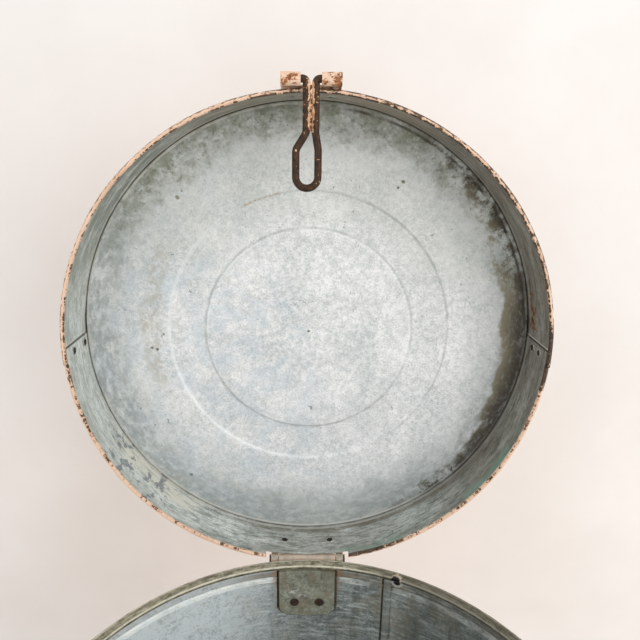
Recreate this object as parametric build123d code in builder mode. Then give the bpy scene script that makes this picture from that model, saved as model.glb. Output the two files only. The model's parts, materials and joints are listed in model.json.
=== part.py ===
"""Round flour tin with a hinged, two-strip lid, a wire hasp and two side bails.

The origin is the middle of the foot ring on the floor, +Z is up, -Y is the front with the hasp,
+Y is the back with the hinge. All lengths are in millimetres and all angles in degrees.
The lid is drawn open, leaning back on its stop.
"""
import os
from math import asin, cos, degrees, radians, sin, sqrt

from build123d import *

# Sheet metal and play
sheet = 0.6
strap_thickness = 1.3
seam_play = 0.05

# Body
body_radius = 150.9
body_height = 320.0
foot_seam_height = 5.0
bottom_recess = 6.0
curl_diameter = 6.0
curl_turn = 290.0
rim_wire_play = 0.2
bead_depth = 16.0
bead_radius = 2.4
lock_seam_azimuth = 68.4
lock_seam_width = 5.4
lock_seam_height = 1.2
lock_seam_stop = 9.0

# Lid
lid_open_angle = 92.5
lid_play = 2.4
lid_overlap = 12.5
lid_depth = 38.3
hem_diameter = 2.6
hem_turn = 300.0
lap_length = 11.0
lap_rivet_inset = 5.5
lap_clearance_angle = 0.3
panel_crown = 6.0
panel_corner = 2.0
lid_seam_rise = 5.0
lid_seam_hook = 4.2
step_radii = (71.7, 97.1)
step_width = 2.0
step_height = 0.9
left_lap_rivet_rises = (13.0, 32.0)
right_lap_rivet_rises = (14.0, 26.0)

# Hinge
fitting_corner = 3.0
hinge_standoff = 6.9
hinge_drop = 6.6
pin_diameter = 4.4
pin_play = 0.2
pin_head_diameter = 6.4
pin_head_thickness = 0.8
knuckle_play = 0.4
body_knuckle_width = 40.0
lid_knuckle_width = 5.0
body_leaf_drop = 46.0
body_leaf_clip = 5.0
body_leaf_sag = 1.6
body_leaf_rivet_drop = 36.0
body_leaf_rivet_spacing = 17.5
slot_play = 0.25
notch_width = 58.0
notch_height = 7.0
lid_leaf_rise = 27.5
lid_leaf_rivet_rise = 20.0
lid_leaf_rivet_spacing = 33.0

# Hasp
hasp_wire_diameter = 4.4
hasp_bore_play = 0.25
hasp_reach = 4.7
hasp_drop = 2.9
hasp_width = 33.8
hasp_leg_spacing = 5.3
hasp_neck_length = 29.0
hasp_flare_length = 9.5
hasp_eye_length = 53.8
hasp_eye_width = 13.0
hasp_eye_offset = -2.2
hasp_corner = 2.4
hasp_flare_radius = 7.0
clip_width = 34.8
clip_gap = 12.0
clip_rise = 24.0
clip_rivet_spacing = 24.0
clip_rivet_rise = 17.5
clip_jog = 3.7

# Staple
staple_wire_diameter = 3.8
staple_span = 14.0
staple_straight = 12.6
staple_hole_play = 0.2
staple_inner_reach = 1.3
staple_depth = 62.4
staple_plate_width = 42.0
staple_plate_height = 36.0
staple_plate_corner = 4.0
staple_rivet_spacing_x = 30.0
staple_rivet_spacing_z = 24.0

# Side bails
bail_wire_diameter = 5.0
bail_bore_play = 0.25
bail_width = 92.0
bail_drop = 42.0
bail_corner = 12.0
bail_height = 215.0
bail_clip_width = 50.0
bail_clip_rise = 28.0
bail_clip_corner = 4.0
bail_rivet_spacing = 30.0
bail_rivet_rise = 18.0

# Rivets
rivet_shank_diameter = 4.0
rivet_hole_play = 0.1
rivet_head_diameter = 7.6
rivet_head_height = 1.7
rivet_tail_diameter = 5.0
rivet_tail_height = 0.8

# Values worked out from those above
body_inner = body_radius - sheet
curl_radius = curl_diameter / 2
rear_inner = body_radius + lid_play
rear_outer = rear_inner + sheet
front_inner = rear_outer + seam_play
front_outer = front_inner + sheet
hem_radius = hem_diameter / 2
panel_height = lid_depth - lid_overlap
lid_top = panel_height + lid_seam_rise
lid_bottom = -lid_overlap
lap_angle = degrees(lap_length / front_inner)
plain_arc = lap_angle + lap_clearance_angle
rim_wire_radius = curl_radius - sheet - rim_wire_play
hinge_y = body_radius + hinge_standoff
hinge_z = body_height - hinge_drop
pin_radius = pin_diameter / 2
knuckle_bore = pin_radius + pin_play
knuckle_radius = knuckle_bore + strap_thickness
leaf_outer = body_inner - seam_play
leaf_inner = leaf_outer - strap_thickness
lid_leaf_inner = rear_outer + seam_play
lid_leaf_outer = lid_leaf_inner + strap_thickness
lid_knuckle_start = body_knuckle_width / 2 + knuckle_play
lid_leaf_width = 2 * (lid_knuckle_start + lid_knuckle_width)
hasp_radius = hasp_wire_diameter / 2
clip_bore = hasp_radius + hasp_bore_play
clip_roll = clip_bore + strap_thickness
clip_inner = front_outer + seam_play
hasp_y = -(rear_inner + hem_diameter + hasp_reach)
hasp_z = lid_bottom - hasp_drop
staple_z = body_height - staple_depth
plate_inner = body_radius + seam_play
plate_outer = plate_inner + strap_thickness
bail_radius = bail_wire_diameter / 2
bail_bore = bail_radius + bail_bore_play
bail_roll = bail_bore + strap_thickness
bail_x = plate_inner + bail_roll
rivet_hole = rivet_shank_diameter / 2 + rivet_hole_play

# Frames: the tin stands on body_frame, and lid_frame is the rim plane carried round the hinge
body_frame = Plane.XY
rim_frame = Plane.XY.offset(body_height)
tilt = radians(lid_open_angle)
lid_origin = (
    0,
    hinge_y - hinge_y * cos(tilt) + hinge_drop * sin(tilt),
    hinge_z + hinge_y * sin(tilt) + hinge_drop * cos(tilt),
)
lid_frame = Plane(origin=lid_origin, x_dir=(1, 0, 0), z_dir=(0, sin(tilt), cos(tilt)))


def radial_plane(frame, azimuth):
    """Half-plane through the axis of a frame: local x points outwards, local y along the axis."""
    outwards = frame.x_dir * cos(radians(azimuth)) + frame.y_dir * sin(radians(azimuth))
    return Plane(origin=frame.origin, x_dir=outwards, z_dir=outwards.cross(frame.z_dir))


def long_plane(frame):
    """Plane across the hinge line: local x is the frame's y, local y is the frame's z."""
    return Plane(origin=frame.origin, x_dir=frame.y_dir, z_dir=frame.x_dir)


def around(frame):
    """Axis of revolution of a frame."""
    return Axis(frame.origin, frame.z_dir)


def azimuth_at(offset, radius):
    """Angle from the middle line at which a point on a round wall is this far aside."""
    return degrees(asin(offset / radius))


def rivet_place(frame, radius, azimuth, height):
    """Plane on the inner face of a round wall, with its normal pointing outwards."""
    side = radial_plane(frame, azimuth)
    origin = side.from_local_coords((radius, height, 0))
    return Plane(origin=origin, x_dir=frame.z_dir, z_dir=side.x_dir)


def add_rivet(place, grip):
    """One rivet: its flat tail inside, its round head outside the sheets that it holds."""
    tail = rivet_tail_diameter / 2
    shank = rivet_shank_diameter / 2
    head = rivet_head_diameter / 2
    section = Plane(origin=place.origin, x_dir=place.x_dir, z_dir=-place.y_dir)
    low = -seam_play
    high = grip + seam_play
    dome = (head ** 2 + rivet_head_height ** 2) / (2 * rivet_head_height)
    crown = (head / 2, high + rivet_head_height - dome + sqrt(dome ** 2 - head ** 2 / 4))
    with BuildSketch(section) as profile:
        with BuildLine():
            Polyline((0, low - rivet_tail_height), (tail, low - rivet_tail_height), (tail, low),
                     (shank, low), (shank, high), (head, high))
            ThreePointArc((head, high), crown, (0, high + rivet_head_height))
            Line((0, high + rivet_head_height), (0, low - rivet_tail_height))
        make_face()
    revolve(profile.sketch, axis=around(place))


def cut_rivet_hole(place):
    """Hole for one rivet through whatever the part has there."""
    with BuildSketch(place) as hole:
        Circle(rivet_hole)
    extrude(hole.sketch, amount=4 * strap_thickness, both=True, mode=Mode.SUBTRACT)


def keep_outline(frame, outline_width, low, high, corner, front):
    """Keep only what lies behind a rounded rectangle, on one side of the tin."""
    plane = Plane(origin=frame.origin, x_dir=frame.x_dir, z_dir=-frame.y_dir)
    reach = 2 * body_radius
    with BuildSketch(plane) as outline:
        with Locations((0, (low + high) / 2)):
            RectangleRounded(outline_width, high - low, corner)
    extrude(outline.sketch, amount=reach if front else -reach, mode=Mode.INTERSECT)


def save(name, builder):
    """Label one finished piece and write it."""
    builder.part.label = name
    export_step(builder.part, f"parts/{name}.step")


os.makedirs("parts", exist_ok=True)

# Where the rivets go
hinge_azimuth = azimuth_at(body_leaf_rivet_spacing / 2, leaf_inner)
body_leaf_rivets = [
    rivet_place(rim_frame, leaf_inner, 90 + side * hinge_azimuth, -body_leaf_rivet_drop)
    for side in (-1, 1)
]
lid_leaf_azimuth = azimuth_at(lid_leaf_rivet_spacing / 2, rear_inner)
lid_leaf_rivets = [
    rivet_place(lid_frame, rear_inner, 90 + side * lid_leaf_azimuth, lid_bottom + lid_leaf_rivet_rise)
    for side in (-1, 1)
]
lap_rivet_angle = degrees(lap_rivet_inset / rear_inner)
lap_rivets = [
    rivet_place(lid_frame, rear_inner, lap_rivet_angle, lid_bottom + rise)
    for rise in right_lap_rivet_rises
] + [
    rivet_place(lid_frame, rear_inner, 180 - lap_rivet_angle, lid_bottom + rise)
    for rise in left_lap_rivet_rises
]
clip_azimuth = azimuth_at(clip_rivet_spacing / 2, front_inner)
clip_rivets = [
    rivet_place(lid_frame, front_inner, 270 + side * clip_azimuth, lid_bottom + clip_rivet_rise)
    for side in (-1, 1)
]
staple_azimuth = azimuth_at(staple_rivet_spacing_x / 2, body_inner)
staple_rivets = [
    rivet_place(body_frame, body_inner, 270 + side * staple_azimuth,
                staple_z + level * staple_rivet_spacing_z / 2)
    for side in (-1, 1)
    for level in (-1, 1)
]
bail_azimuth = azimuth_at(bail_rivet_spacing / 2, body_inner)
bail_rivets = {
    name: [
        rivet_place(body_frame, body_inner, middle + side * bail_azimuth, bail_height + bail_rivet_rise)
        for side in (-1, 1)
    ]
    for name, middle in (("right", 0), ("left", 180))
}

# Body wall: one sheet rolled into a tube, with a bead under the rim and a wired curl on top
bead_inner = bead_radius - sheet / 2
bead_outer = bead_radius + sheet / 2
bead_z = body_height - bead_depth
wall_foot = sheet + seam_play
curl_centre = (body_radius - curl_radius, body_height - curl_radius)
neck_bottom = hinge_z - knuckle_radius
neck_top = hinge_z - knuckle_bore
with BuildPart() as body_wall:
    with BuildSketch(radial_plane(body_frame, 0)):
        with BuildLine():
            Line((body_radius, wall_foot), (body_radius, bead_z - bead_outer))
            ThreePointArc((body_radius, bead_z - bead_outer), (body_radius + bead_outer, bead_z),
                          (body_radius, bead_z + bead_outer))
            Line((body_radius, bead_z + bead_outer), (body_radius, curl_centre[1]))
            outer_curl = CenterArc(curl_centre, curl_radius, 0, curl_turn)
            inner_curl = CenterArc(curl_centre, curl_radius - sheet, 0, curl_turn)
            Line(outer_curl @ 1, inner_curl @ 1)
            Line((body_inner, curl_centre[1]), (body_inner, bead_z + bead_inner))
            ThreePointArc((body_inner, bead_z + bead_inner), (body_inner + bead_inner, bead_z),
                          (body_inner, bead_z - bead_inner))
            Line((body_inner, bead_z - bead_inner), (body_inner, wall_foot))
            Line((body_inner, wall_foot), (body_radius, wall_foot))
        make_face()
    revolve(axis=around(body_frame))
    # The folded lock seam stands proud inside, from the bottom sheet up to just under the curl
    seam_low = bottom_recess + sheet + seam_play
    seam_high = body_height - lock_seam_stop
    seam_plane = radial_plane(body_frame, lock_seam_azimuth)
    with BuildSketch(seam_plane):
        with Locations(((body_inner + sheet / 2 - lock_seam_height / 2), (seam_low + seam_high) / 2)):
            Rectangle(lock_seam_height + sheet, seam_high - seam_low)
    extrude(amount=lock_seam_width / 2, both=True)
    # Slot under the curl, where the hinge leaf comes out
    with BuildSketch(Plane.XZ):
        with Locations((0, (neck_bottom + neck_top) / 2)):
            Rectangle(body_knuckle_width + 2 * knuckle_play, strap_thickness + 2 * slot_play)
    extrude(amount=-(body_radius + curl_diameter), mode=Mode.SUBTRACT)
    for place in body_leaf_rivets + staple_rivets + bail_rivets["right"] + bail_rivets["left"]:
        cut_rivet_hole(place)
    # Two holes at the front for the legs of the staple
    with BuildSketch(Plane.XZ):
        with Locations((hasp_eye_offset, staple_z)):
            with GridLocations(0, staple_span, 1, 2):
                Circle(staple_wire_diameter / 2 + staple_hole_play)
    extrude(amount=body_radius + curl_diameter, mode=Mode.SUBTRACT)
save("body_wall", body_wall)

# Wire inside the curl
with BuildPart() as rim_wire:
    with BuildSketch(radial_plane(body_frame, 0)):
        with Locations(curl_centre):
            Circle(rim_wire_radius)
    revolve(axis=around(body_frame))
save("rim_wire", rim_wire)

# Bottom sheet, set up inside the foot and hooked round the lower edge of the wall
flange_outer = body_inner - seam_play
flange_inner = flange_outer - sheet
hook_inner = body_radius + seam_play
hook_outer = hook_inner + sheet
with BuildPart() as body_bottom:
    with BuildSketch(radial_plane(body_frame, 0)):
        with BuildLine():
            Polyline((0, bottom_recess), (flange_inner, bottom_recess), (flange_inner, 0),
                     (hook_outer, 0), (hook_outer, foot_seam_height), (hook_inner, foot_seam_height),
                     (hook_inner, sheet), (flange_outer, sheet),
                     (flange_outer, bottom_recess + sheet), (0, bottom_recess + sheet), close=True)
        make_face()
    revolve(axis=around(body_frame))
save("body_bottom", body_bottom)

# Hinge leaf of the body: a plate inside the wall, a neck through the slot, the middle knuckle
hinge_section = Plane.YZ
with BuildPart() as hinge_body_leaf:
    leaf_bottom = body_height - body_leaf_drop
    with BuildSketch(Plane.XY.offset(leaf_bottom - body_leaf_sag)):
        Circle(leaf_outer)
        Circle(leaf_inner, mode=Mode.SUBTRACT)
    extrude(amount=neck_top - leaf_bottom + body_leaf_sag)
    half = body_knuckle_width / 2
    clipped = half - body_leaf_clip
    with BuildSketch(Plane.XZ):
        with BuildLine():
            Line((clipped, leaf_bottom), (half, leaf_bottom + body_leaf_clip))
            Line((half, leaf_bottom + body_leaf_clip), (half, body_height))
            Line((half, body_height), (-half, body_height))
            Line((-half, body_height), (-half, leaf_bottom + body_leaf_clip))
            Line((-half, leaf_bottom + body_leaf_clip), (-clipped, leaf_bottom))
            ThreePointArc((-clipped, leaf_bottom), (0, leaf_bottom - body_leaf_sag), (clipped, leaf_bottom))
        make_face()
    extrude(amount=-(hinge_y + body_radius), mode=Mode.INTERSECT)
    with BuildSketch(Plane.XY.offset(neck_bottom)):
        with Locations((0, hinge_y / 2)):
            Rectangle(body_knuckle_width, hinge_y)
        Circle(leaf_inner, mode=Mode.SUBTRACT)
    extrude(amount=strap_thickness)
    with BuildSketch(hinge_section):
        with Locations((hinge_y, hinge_z)):
            Circle(knuckle_radius)
            Circle(knuckle_bore, mode=Mode.SUBTRACT)
    extrude(amount=half, both=True)
    for place in body_leaf_rivets:
        cut_rivet_hole(place)
save("hinge_body_leaf", hinge_body_leaf)

with BuildPart() as hinge_body_rivets:
    for place in body_leaf_rivets:
        add_rivet(place, body_radius - leaf_inner)
save("hinge_body_rivets", hinge_body_rivets)

# Hinge pin, upset at both ends
with BuildPart() as hinge_pin:
    with BuildSketch(hinge_section):
        with Locations((hinge_y, hinge_z)):
            Circle(pin_radius)
    extrude(amount=lid_leaf_width / 2 + knuckle_play, both=True)
    for side in (-1, 1):
        with BuildSketch(hinge_section.offset(side * (lid_leaf_width / 2 + knuckle_play))):
            with Locations((hinge_y, hinge_z)):
                Circle(pin_head_diameter / 2)
        extrude(amount=side * pin_head_thickness)
save("hinge_pin", hinge_pin)

# Hinge leaf of the lid: a plate outside the rear strip, with the two outer knuckles
with BuildPart() as hinge_lid_leaf:
    roll_top = knuckle_radius - hinge_drop
    leaf_low = roll_top - strap_thickness
    leaf_high = lid_bottom + lid_leaf_rise
    with BuildSketch(lid_frame.offset(leaf_low)):
        Circle(lid_leaf_outer)
        Circle(lid_leaf_inner, mode=Mode.SUBTRACT)
    extrude(amount=leaf_high - leaf_low)
    keep_outline(lid_frame, lid_leaf_width, leaf_low - fitting_corner, leaf_high, fitting_corner, front=False)
    # Room over the middle knuckle
    with BuildSketch(Plane(origin=lid_frame.origin, x_dir=lid_frame.x_dir, z_dir=-lid_frame.y_dir)):
        with Locations((0, leaf_low)):
            Rectangle(2 * lid_knuckle_start, 2 * (roll_top + knuckle_play - leaf_low))
    extrude(amount=-2 * body_radius, mode=Mode.SUBTRACT)
    # Each outer knuckle: a foot from the plate out to the roll, and the roll itself
    for side in (-1, 1):
        middle = side * (lid_knuckle_start + lid_knuckle_width / 2)
        with BuildSketch(lid_frame.offset(leaf_low)):
            with Locations((middle, hinge_y / 2)):
                Rectangle(lid_knuckle_width, hinge_y)
            Circle(lid_leaf_inner, mode=Mode.SUBTRACT)
        extrude(amount=strap_thickness)
        with BuildSketch(long_plane(lid_frame).offset(middle)):
            with Locations((hinge_y, -hinge_drop)):
                Circle(knuckle_radius)
                Circle(knuckle_bore, mode=Mode.SUBTRACT)
        extrude(amount=lid_knuckle_width / 2, both=True)
    for place in lid_leaf_rivets:
        cut_rivet_hole(place)
save("hinge_lid_leaf", hinge_lid_leaf)

with BuildPart() as hinge_lid_rivets:
    for place in lid_leaf_rivets:
        add_rivet(place, lid_leaf_outer - rear_inner)
save("hinge_lid_rivets", hinge_lid_rivets)


def add_strip(inner, start, arc, hemmed):
    """Part of the lid's side strip: a round wall, with its lower edge curled outwards if hemmed."""
    outer = inner + sheet
    centre = (inner + hem_radius, lid_bottom + hem_radius)
    if not hemmed:
        with BuildSketch(radial_plane(lid_frame, start)) as plain:
            with Locations(((inner + outer) / 2, (centre[1] + lid_top) / 2)):
                Rectangle(sheet, lid_top - centre[1])
        revolve(plain.sketch, axis=around(lid_frame), revolution_arc=arc)
        return
    with BuildSketch(radial_plane(lid_frame, start)) as rolled:
        with BuildLine():
            Line((inner, lid_top), (inner, centre[1]))
            under = CenterArc(centre, hem_radius, 180, hem_turn)
            inside = CenterArc(centre, hem_radius - sheet, 180, hem_turn)
            Line(under @ 1, inside @ 1)
            Line((outer, centre[1]), (outer, lid_top))
            Line((outer, lid_top), (inner, lid_top))
        make_face()
    revolve(rolled.sketch, axis=around(lid_frame), revolution_arc=arc)


# Rear strip of the lid: half a turn, its plain ends tucked inside the front strip
with BuildPart() as lid_rear_band:
    add_strip(rear_inner, plain_arc, 180 - 2 * plain_arc, hemmed=True)
    add_strip(rear_inner, 0, plain_arc, hemmed=False)
    add_strip(rear_inner, 180 - plain_arc, plain_arc, hemmed=False)
    # Notch round the hinge
    with BuildSketch(Plane(origin=lid_frame.origin, x_dir=lid_frame.x_dir, z_dir=-lid_frame.y_dir)):
        with Locations((0, lid_bottom)):
            Rectangle(notch_width, 2 * notch_height)
    extrude(amount=-2 * body_radius, mode=Mode.SUBTRACT)
    for place in lid_leaf_rivets + lap_rivets:
        cut_rivet_hole(place)
save("lid_rear_band", lid_rear_band)

# Front strip of the lid
with BuildPart() as lid_front_band:
    add_strip(front_inner, 180 - lap_angle, 180 + 2 * lap_angle, hemmed=True)
    for place in clip_rivets + lap_rivets:
        cut_rivet_hole(place)
save("lid_front_band", lid_front_band)

with BuildPart() as lid_lap_rivets:
    for place in lap_rivets:
        add_rivet(place, front_outer - rear_inner)
save("lid_lap_rivets", lid_lap_rivets)

# Lid panel: a crowned pan set down into the strips and hooked over their upper edge
pan_outer = rear_inner - seam_play
pan_inner = pan_outer - sheet
pan_edge = pan_outer - panel_corner
pan_hook_inner = front_outer + seam_play
pan_hook_outer = pan_hook_inner + sheet


def crown_at(radius):
    """Height of the crowned panel's inner face above its edge."""
    return panel_crown * (1 - (radius / pan_edge) ** 2)


def crown_line(lift):
    """One face of the crowned panel, from the middle out to its edge, with the pressed ring between two steps."""
    inner_step, outer_step = step_radii
    half_step = step_width / 2
    add_crown_arc(0, inner_step - half_step, lift)
    add_step(inner_step - half_step, lift, inner_step + half_step, lift + step_height)
    add_crown_arc(inner_step + half_step, outer_step - half_step, lift + step_height)
    add_step(outer_step - half_step, lift + step_height, outer_step + half_step, lift)
    add_crown_arc(outer_step + half_step, pan_edge, lift)


def add_step(start, start_lift, end, end_lift):
    """A slope between two levels of the panel."""
    Line((start, panel_height + crown_at(start) + start_lift), (end, panel_height + crown_at(end) + end_lift))


def add_crown_arc(start, end, lift):
    """A smooth stretch of the crown between two radii."""
    middle = (start + end) / 2
    ThreePointArc(*((radius, panel_height + crown_at(radius) + lift) for radius in (start, middle, end)))


with BuildPart() as lid_panel:
    with BuildSketch(radial_plane(lid_frame, 0)):
        with BuildLine():
            crown_line(0)
            bend = 1 - 1 / sqrt(2)
            corner_low = (pan_outer - bend * panel_corner, panel_height + bend * panel_corner)
            ThreePointArc((pan_edge, panel_height), corner_low, (pan_outer, panel_height + panel_corner))
            Polyline((pan_outer, panel_height + panel_corner), (pan_outer, lid_top + seam_play),
                     (pan_hook_inner, lid_top + seam_play), (pan_hook_inner, lid_top - lid_seam_hook),
                     (pan_hook_outer, lid_top - lid_seam_hook), (pan_hook_outer, lid_top + seam_play + sheet),
                     (pan_inner, lid_top + seam_play + sheet), (pan_inner, panel_height + panel_corner))
            inner_corner = panel_corner - sheet
            corner_high = (pan_inner - bend * inner_corner, panel_height + sheet + bend * inner_corner)
            ThreePointArc((pan_inner, panel_height + panel_corner), corner_high,
                          (pan_edge, panel_height + sheet))
            crown_line(sheet)
            Line((0, panel_height + panel_crown), (0, panel_height + panel_crown + sheet))
        make_face()
    revolve(axis=around(lid_frame))
save("lid_panel", lid_panel)

# Clip that carries the hasp: a plate on the front strip, a jog over the hem, two rolled knuckles
clip_section = long_plane(lid_frame)
with BuildPart() as hasp_clip:
    jog_low = lid_bottom + clip_jog
    clip_outer = clip_inner + strap_thickness
    with BuildSketch(lid_frame.offset(jog_low)):
        Circle(clip_outer)
        Circle(clip_inner, mode=Mode.SUBTRACT)
    extrude(amount=lid_bottom + clip_rise - jog_low)
    clip_high = lid_bottom + clip_rise
    keep_outline(lid_frame, clip_width, jog_low - fitting_corner, clip_high, fitting_corner, front=True)
    roll_back = hasp_y + clip_roll
    with BuildSketch(lid_frame.offset(jog_low)):
        with Locations((0, (roll_back - strap_thickness) / 2)):
            Rectangle(clip_width, -(roll_back - strap_thickness))
        Circle(clip_inner, mode=Mode.SUBTRACT)
    extrude(amount=strap_thickness)
    knuckle_width = (clip_width - clip_gap) / 2
    for side in (-1, 1):
        middle = side * (clip_gap + knuckle_width) / 2
        with BuildSketch(clip_section.offset(middle)):
            with Locations((roll_back - strap_thickness / 2, (jog_low + strap_thickness + hasp_z) / 2)):
                Rectangle(strap_thickness, jog_low + strap_thickness - hasp_z)
            with Locations((hasp_y, hasp_z)):
                Circle(clip_roll)
                Circle(clip_bore, mode=Mode.SUBTRACT)
        extrude(amount=knuckle_width / 2, both=True)
    for place in clip_rivets:
        cut_rivet_hole(place)
save("hasp_clip", hasp_clip)

with BuildPart() as hasp_clip_rivets:
    for place in clip_rivets:
        add_rivet(place, clip_inner + strap_thickness - front_inner)
save("hasp_clip_rivets", hasp_clip_rivets)

# Hasp: one wire, bent into an eye, its two ends turned out into the knuckles; it hangs plumb
hasp_origin = lid_frame.from_local_coords((0, hasp_y, hasp_z))
hasp_plane = Plane(origin=hasp_origin, x_dir=(1, 0, 0), z_dir=(0, -1, 0))
eye_half = hasp_eye_width / 2
leg_half = hasp_leg_spacing / 2
with BuildPart() as hasp:
    with BuildLine(hasp_plane) as hasp_path:
        for side in (1, -1):
            leg_x = side * leg_half
            eye_x = side * eye_half + hasp_eye_offset
            FilletPolyline((side * hasp_width / 2, 0), (leg_x, 0), (leg_x, -hasp_neck_length / 2), radius=hasp_corner)
            FilletPolyline((leg_x, -hasp_neck_length / 2), (leg_x, -hasp_neck_length),
                           (eye_x, -hasp_neck_length - hasp_flare_length), (eye_x, -hasp_eye_length),
                           radius=hasp_flare_radius)
        ThreePointArc((eye_half + hasp_eye_offset, -hasp_eye_length),
                      (hasp_eye_offset, -hasp_eye_length - eye_half),
                      (-eye_half + hasp_eye_offset, -hasp_eye_length))
    with BuildSketch(Plane(origin=hasp_plane.from_local_coords((hasp_width / 2, 0, 0)), z_dir=(-1, 0, 0))):
        Circle(hasp_radius)
    sweep(path=hasp_path.wires()[0])
save("hasp", hasp)

# Staple on the front of the body, and the plate that it stands on
staple_frame = Plane(origin=(hasp_eye_offset, 0, staple_z), x_dir=(0, -1, 0), z_dir=(1, 0, 0))
staple_turn = plate_inner + staple_straight
staple_leg = staple_span / 2
staple_end = body_inner - staple_inner_reach
with BuildPart() as staple:
    with BuildLine(staple_frame) as staple_path:
        Line((staple_end, staple_leg), (staple_turn, staple_leg))
        ThreePointArc((staple_turn, staple_leg), (staple_turn + staple_leg, 0), (staple_turn, -staple_leg))
        Line((staple_turn, -staple_leg), (staple_end, -staple_leg))
    with BuildSketch(Plane(origin=staple_frame.from_local_coords((staple_end, staple_leg, 0)),
                           z_dir=(0, -1, 0))):
        Circle(staple_wire_diameter / 2)
    sweep(path=staple_path.wires()[0])
save("staple", staple)

with BuildPart() as staple_plate:
    low = staple_z - staple_plate_height / 2
    high = staple_z + staple_plate_height / 2
    with BuildSketch(Plane.XY.offset(low)):
        Circle(plate_outer)
        Circle(plate_inner, mode=Mode.SUBTRACT)
    extrude(amount=staple_plate_height)
    keep_outline(body_frame, staple_plate_width, low, high, staple_plate_corner, front=True)
    with BuildSketch(Plane.XZ):
        with Locations((hasp_eye_offset, staple_z)):
            with GridLocations(0, staple_span, 1, 2):
                Circle(staple_wire_diameter / 2 + staple_hole_play)
    extrude(amount=2 * body_radius, mode=Mode.SUBTRACT)
    for place in staple_rivets:
        cut_rivet_hole(place)
save("staple_plate", staple_plate)

with BuildPart() as staple_plate_rivets:
    for place in staple_rivets:
        add_rivet(place, plate_outer - body_inner)
save("staple_plate_rivets", staple_plate_rivets)

# Side bails: a closed wire loop that hangs in a folded clip, one on each side
for name, turn in (("right", 1), ("left", -1)):
    side_frame = Plane(origin=(0, 0, 0), x_dir=(0, turn, 0), z_dir=(0, 0, 1))
    side_section = long_plane(side_frame)
    with BuildPart() as bail:
        bail_plane = Plane(origin=side_frame.from_local_coords((0, -bail_x, bail_height)),
                           x_dir=side_frame.x_dir, z_dir=-side_frame.y_dir)
        with BuildLine(bail_plane) as bail_path:
            for end in (bail_width / 2, -bail_width / 2):
                FilletPolyline((0, 0), (end, 0), (end, -bail_drop), (0, -bail_drop), radius=bail_corner)
        with BuildSketch(Plane(origin=bail_plane.origin, z_dir=bail_plane.x_dir)):
            Circle(bail_radius)
        sweep(path=bail_path.wires()[0])
    save(f"bail_{name}", bail)

    with BuildPart() as bail_clip:
        with BuildSketch(Plane.XY.offset(bail_height)):
            Circle(plate_outer)
            Circle(plate_inner, mode=Mode.SUBTRACT)
        extrude(amount=bail_clip_rise)
        keep_outline(side_frame, bail_clip_width, bail_height - bail_clip_corner,
                     bail_height + bail_clip_rise, bail_clip_corner, front=True)
        with BuildSketch(side_section):
            with Locations((-bail_x, bail_height)):
                Circle(bail_roll)
                Circle(bail_bore, mode=Mode.SUBTRACT)
            fill_width = bail_clip_corner
            with Locations((-(plate_outer - fill_width / 2), bail_height + bail_roll / 2)):
                Rectangle(fill_width, bail_roll)
        extrude(amount=bail_clip_width / 2, both=True)
        with BuildSketch(Plane.XY.offset(bail_height - bail_roll)):
            Circle(plate_inner)
        extrude(amount=2 * bail_roll, mode=Mode.SUBTRACT)
        for place in bail_rivets[name]:
            cut_rivet_hole(place)
    save(f"bail_clip_{name}", bail_clip)

    with BuildPart() as bail_clip_rivets:
        for place in bail_rivets[name]:
            add_rivet(place, plate_outer - body_inner)
    save(f"bail_clip_rivets_{name}", bail_clip_rivets)
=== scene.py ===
# %% [markdown]
# # A round flour tin with its lid thrown back
# The real tin is rolled, hooked and riveted from thin sheet. Its outside had a coat of peach
# paint that has chipped away along every edge, and its inside is bare zinc gone dull and stained.
# The measured model is loaded first. Everything below dresses that model and never resizes it.

# %% Load the measured model
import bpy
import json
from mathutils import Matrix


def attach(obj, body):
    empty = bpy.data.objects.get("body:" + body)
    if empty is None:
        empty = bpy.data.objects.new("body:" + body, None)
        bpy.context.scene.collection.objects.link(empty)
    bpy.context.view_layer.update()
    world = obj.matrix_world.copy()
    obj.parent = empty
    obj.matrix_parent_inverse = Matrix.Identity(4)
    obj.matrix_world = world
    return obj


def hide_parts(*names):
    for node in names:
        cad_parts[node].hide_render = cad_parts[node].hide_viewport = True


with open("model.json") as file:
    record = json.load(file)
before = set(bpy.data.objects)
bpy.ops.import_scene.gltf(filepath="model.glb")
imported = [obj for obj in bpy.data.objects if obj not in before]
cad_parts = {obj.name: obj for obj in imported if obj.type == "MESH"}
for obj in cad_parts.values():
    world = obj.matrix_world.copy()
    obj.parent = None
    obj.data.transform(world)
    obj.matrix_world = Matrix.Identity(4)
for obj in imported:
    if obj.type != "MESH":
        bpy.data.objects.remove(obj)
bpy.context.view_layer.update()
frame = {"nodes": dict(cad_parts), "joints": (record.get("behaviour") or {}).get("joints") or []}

import json
import math

import bmesh
import bpy
from mathutils import Matrix, Vector, noise

MM = 0.001

# %% [markdown]
# ## Where the lid is
# The lid is easiest to shape lying level, with its own axis upright. One matrix then carries it
# round the hinge to where it leans. The hinge's place and its opening angle come from the model,
# so the dressed lid can't drift away from the measured one.

# %% Lid frame
BODY_HEIGHT = 320 * MM
lid_hinge = next(joint for joint in frame["joints"] if joint["name"] == "lid_hinge")
hinge_place = Vector(lid_hinge["pos_m"])
open_angle = math.radians(lid_hinge["range_deg"][1])
lid_place = (
    Matrix.Translation(hinge_place)
    @ Matrix.Rotation(-open_angle, 4, "X")
    @ Matrix.Translation(Vector((0, 0, BODY_HEIGHT)) - hinge_place)
)
print("lid axis starts at", [round(value, 4) for value in lid_place.translation])

# %% [markdown]
# ## Camera
# The tin is seen from above its mouth, looking down at a shallow angle into the leaning lid. The
# place, tilt and focal length were fitted to the outlines of the lid and the rim, which are both
# circles on the real tin, so their ellipses in a picture say where the eye was.

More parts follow.
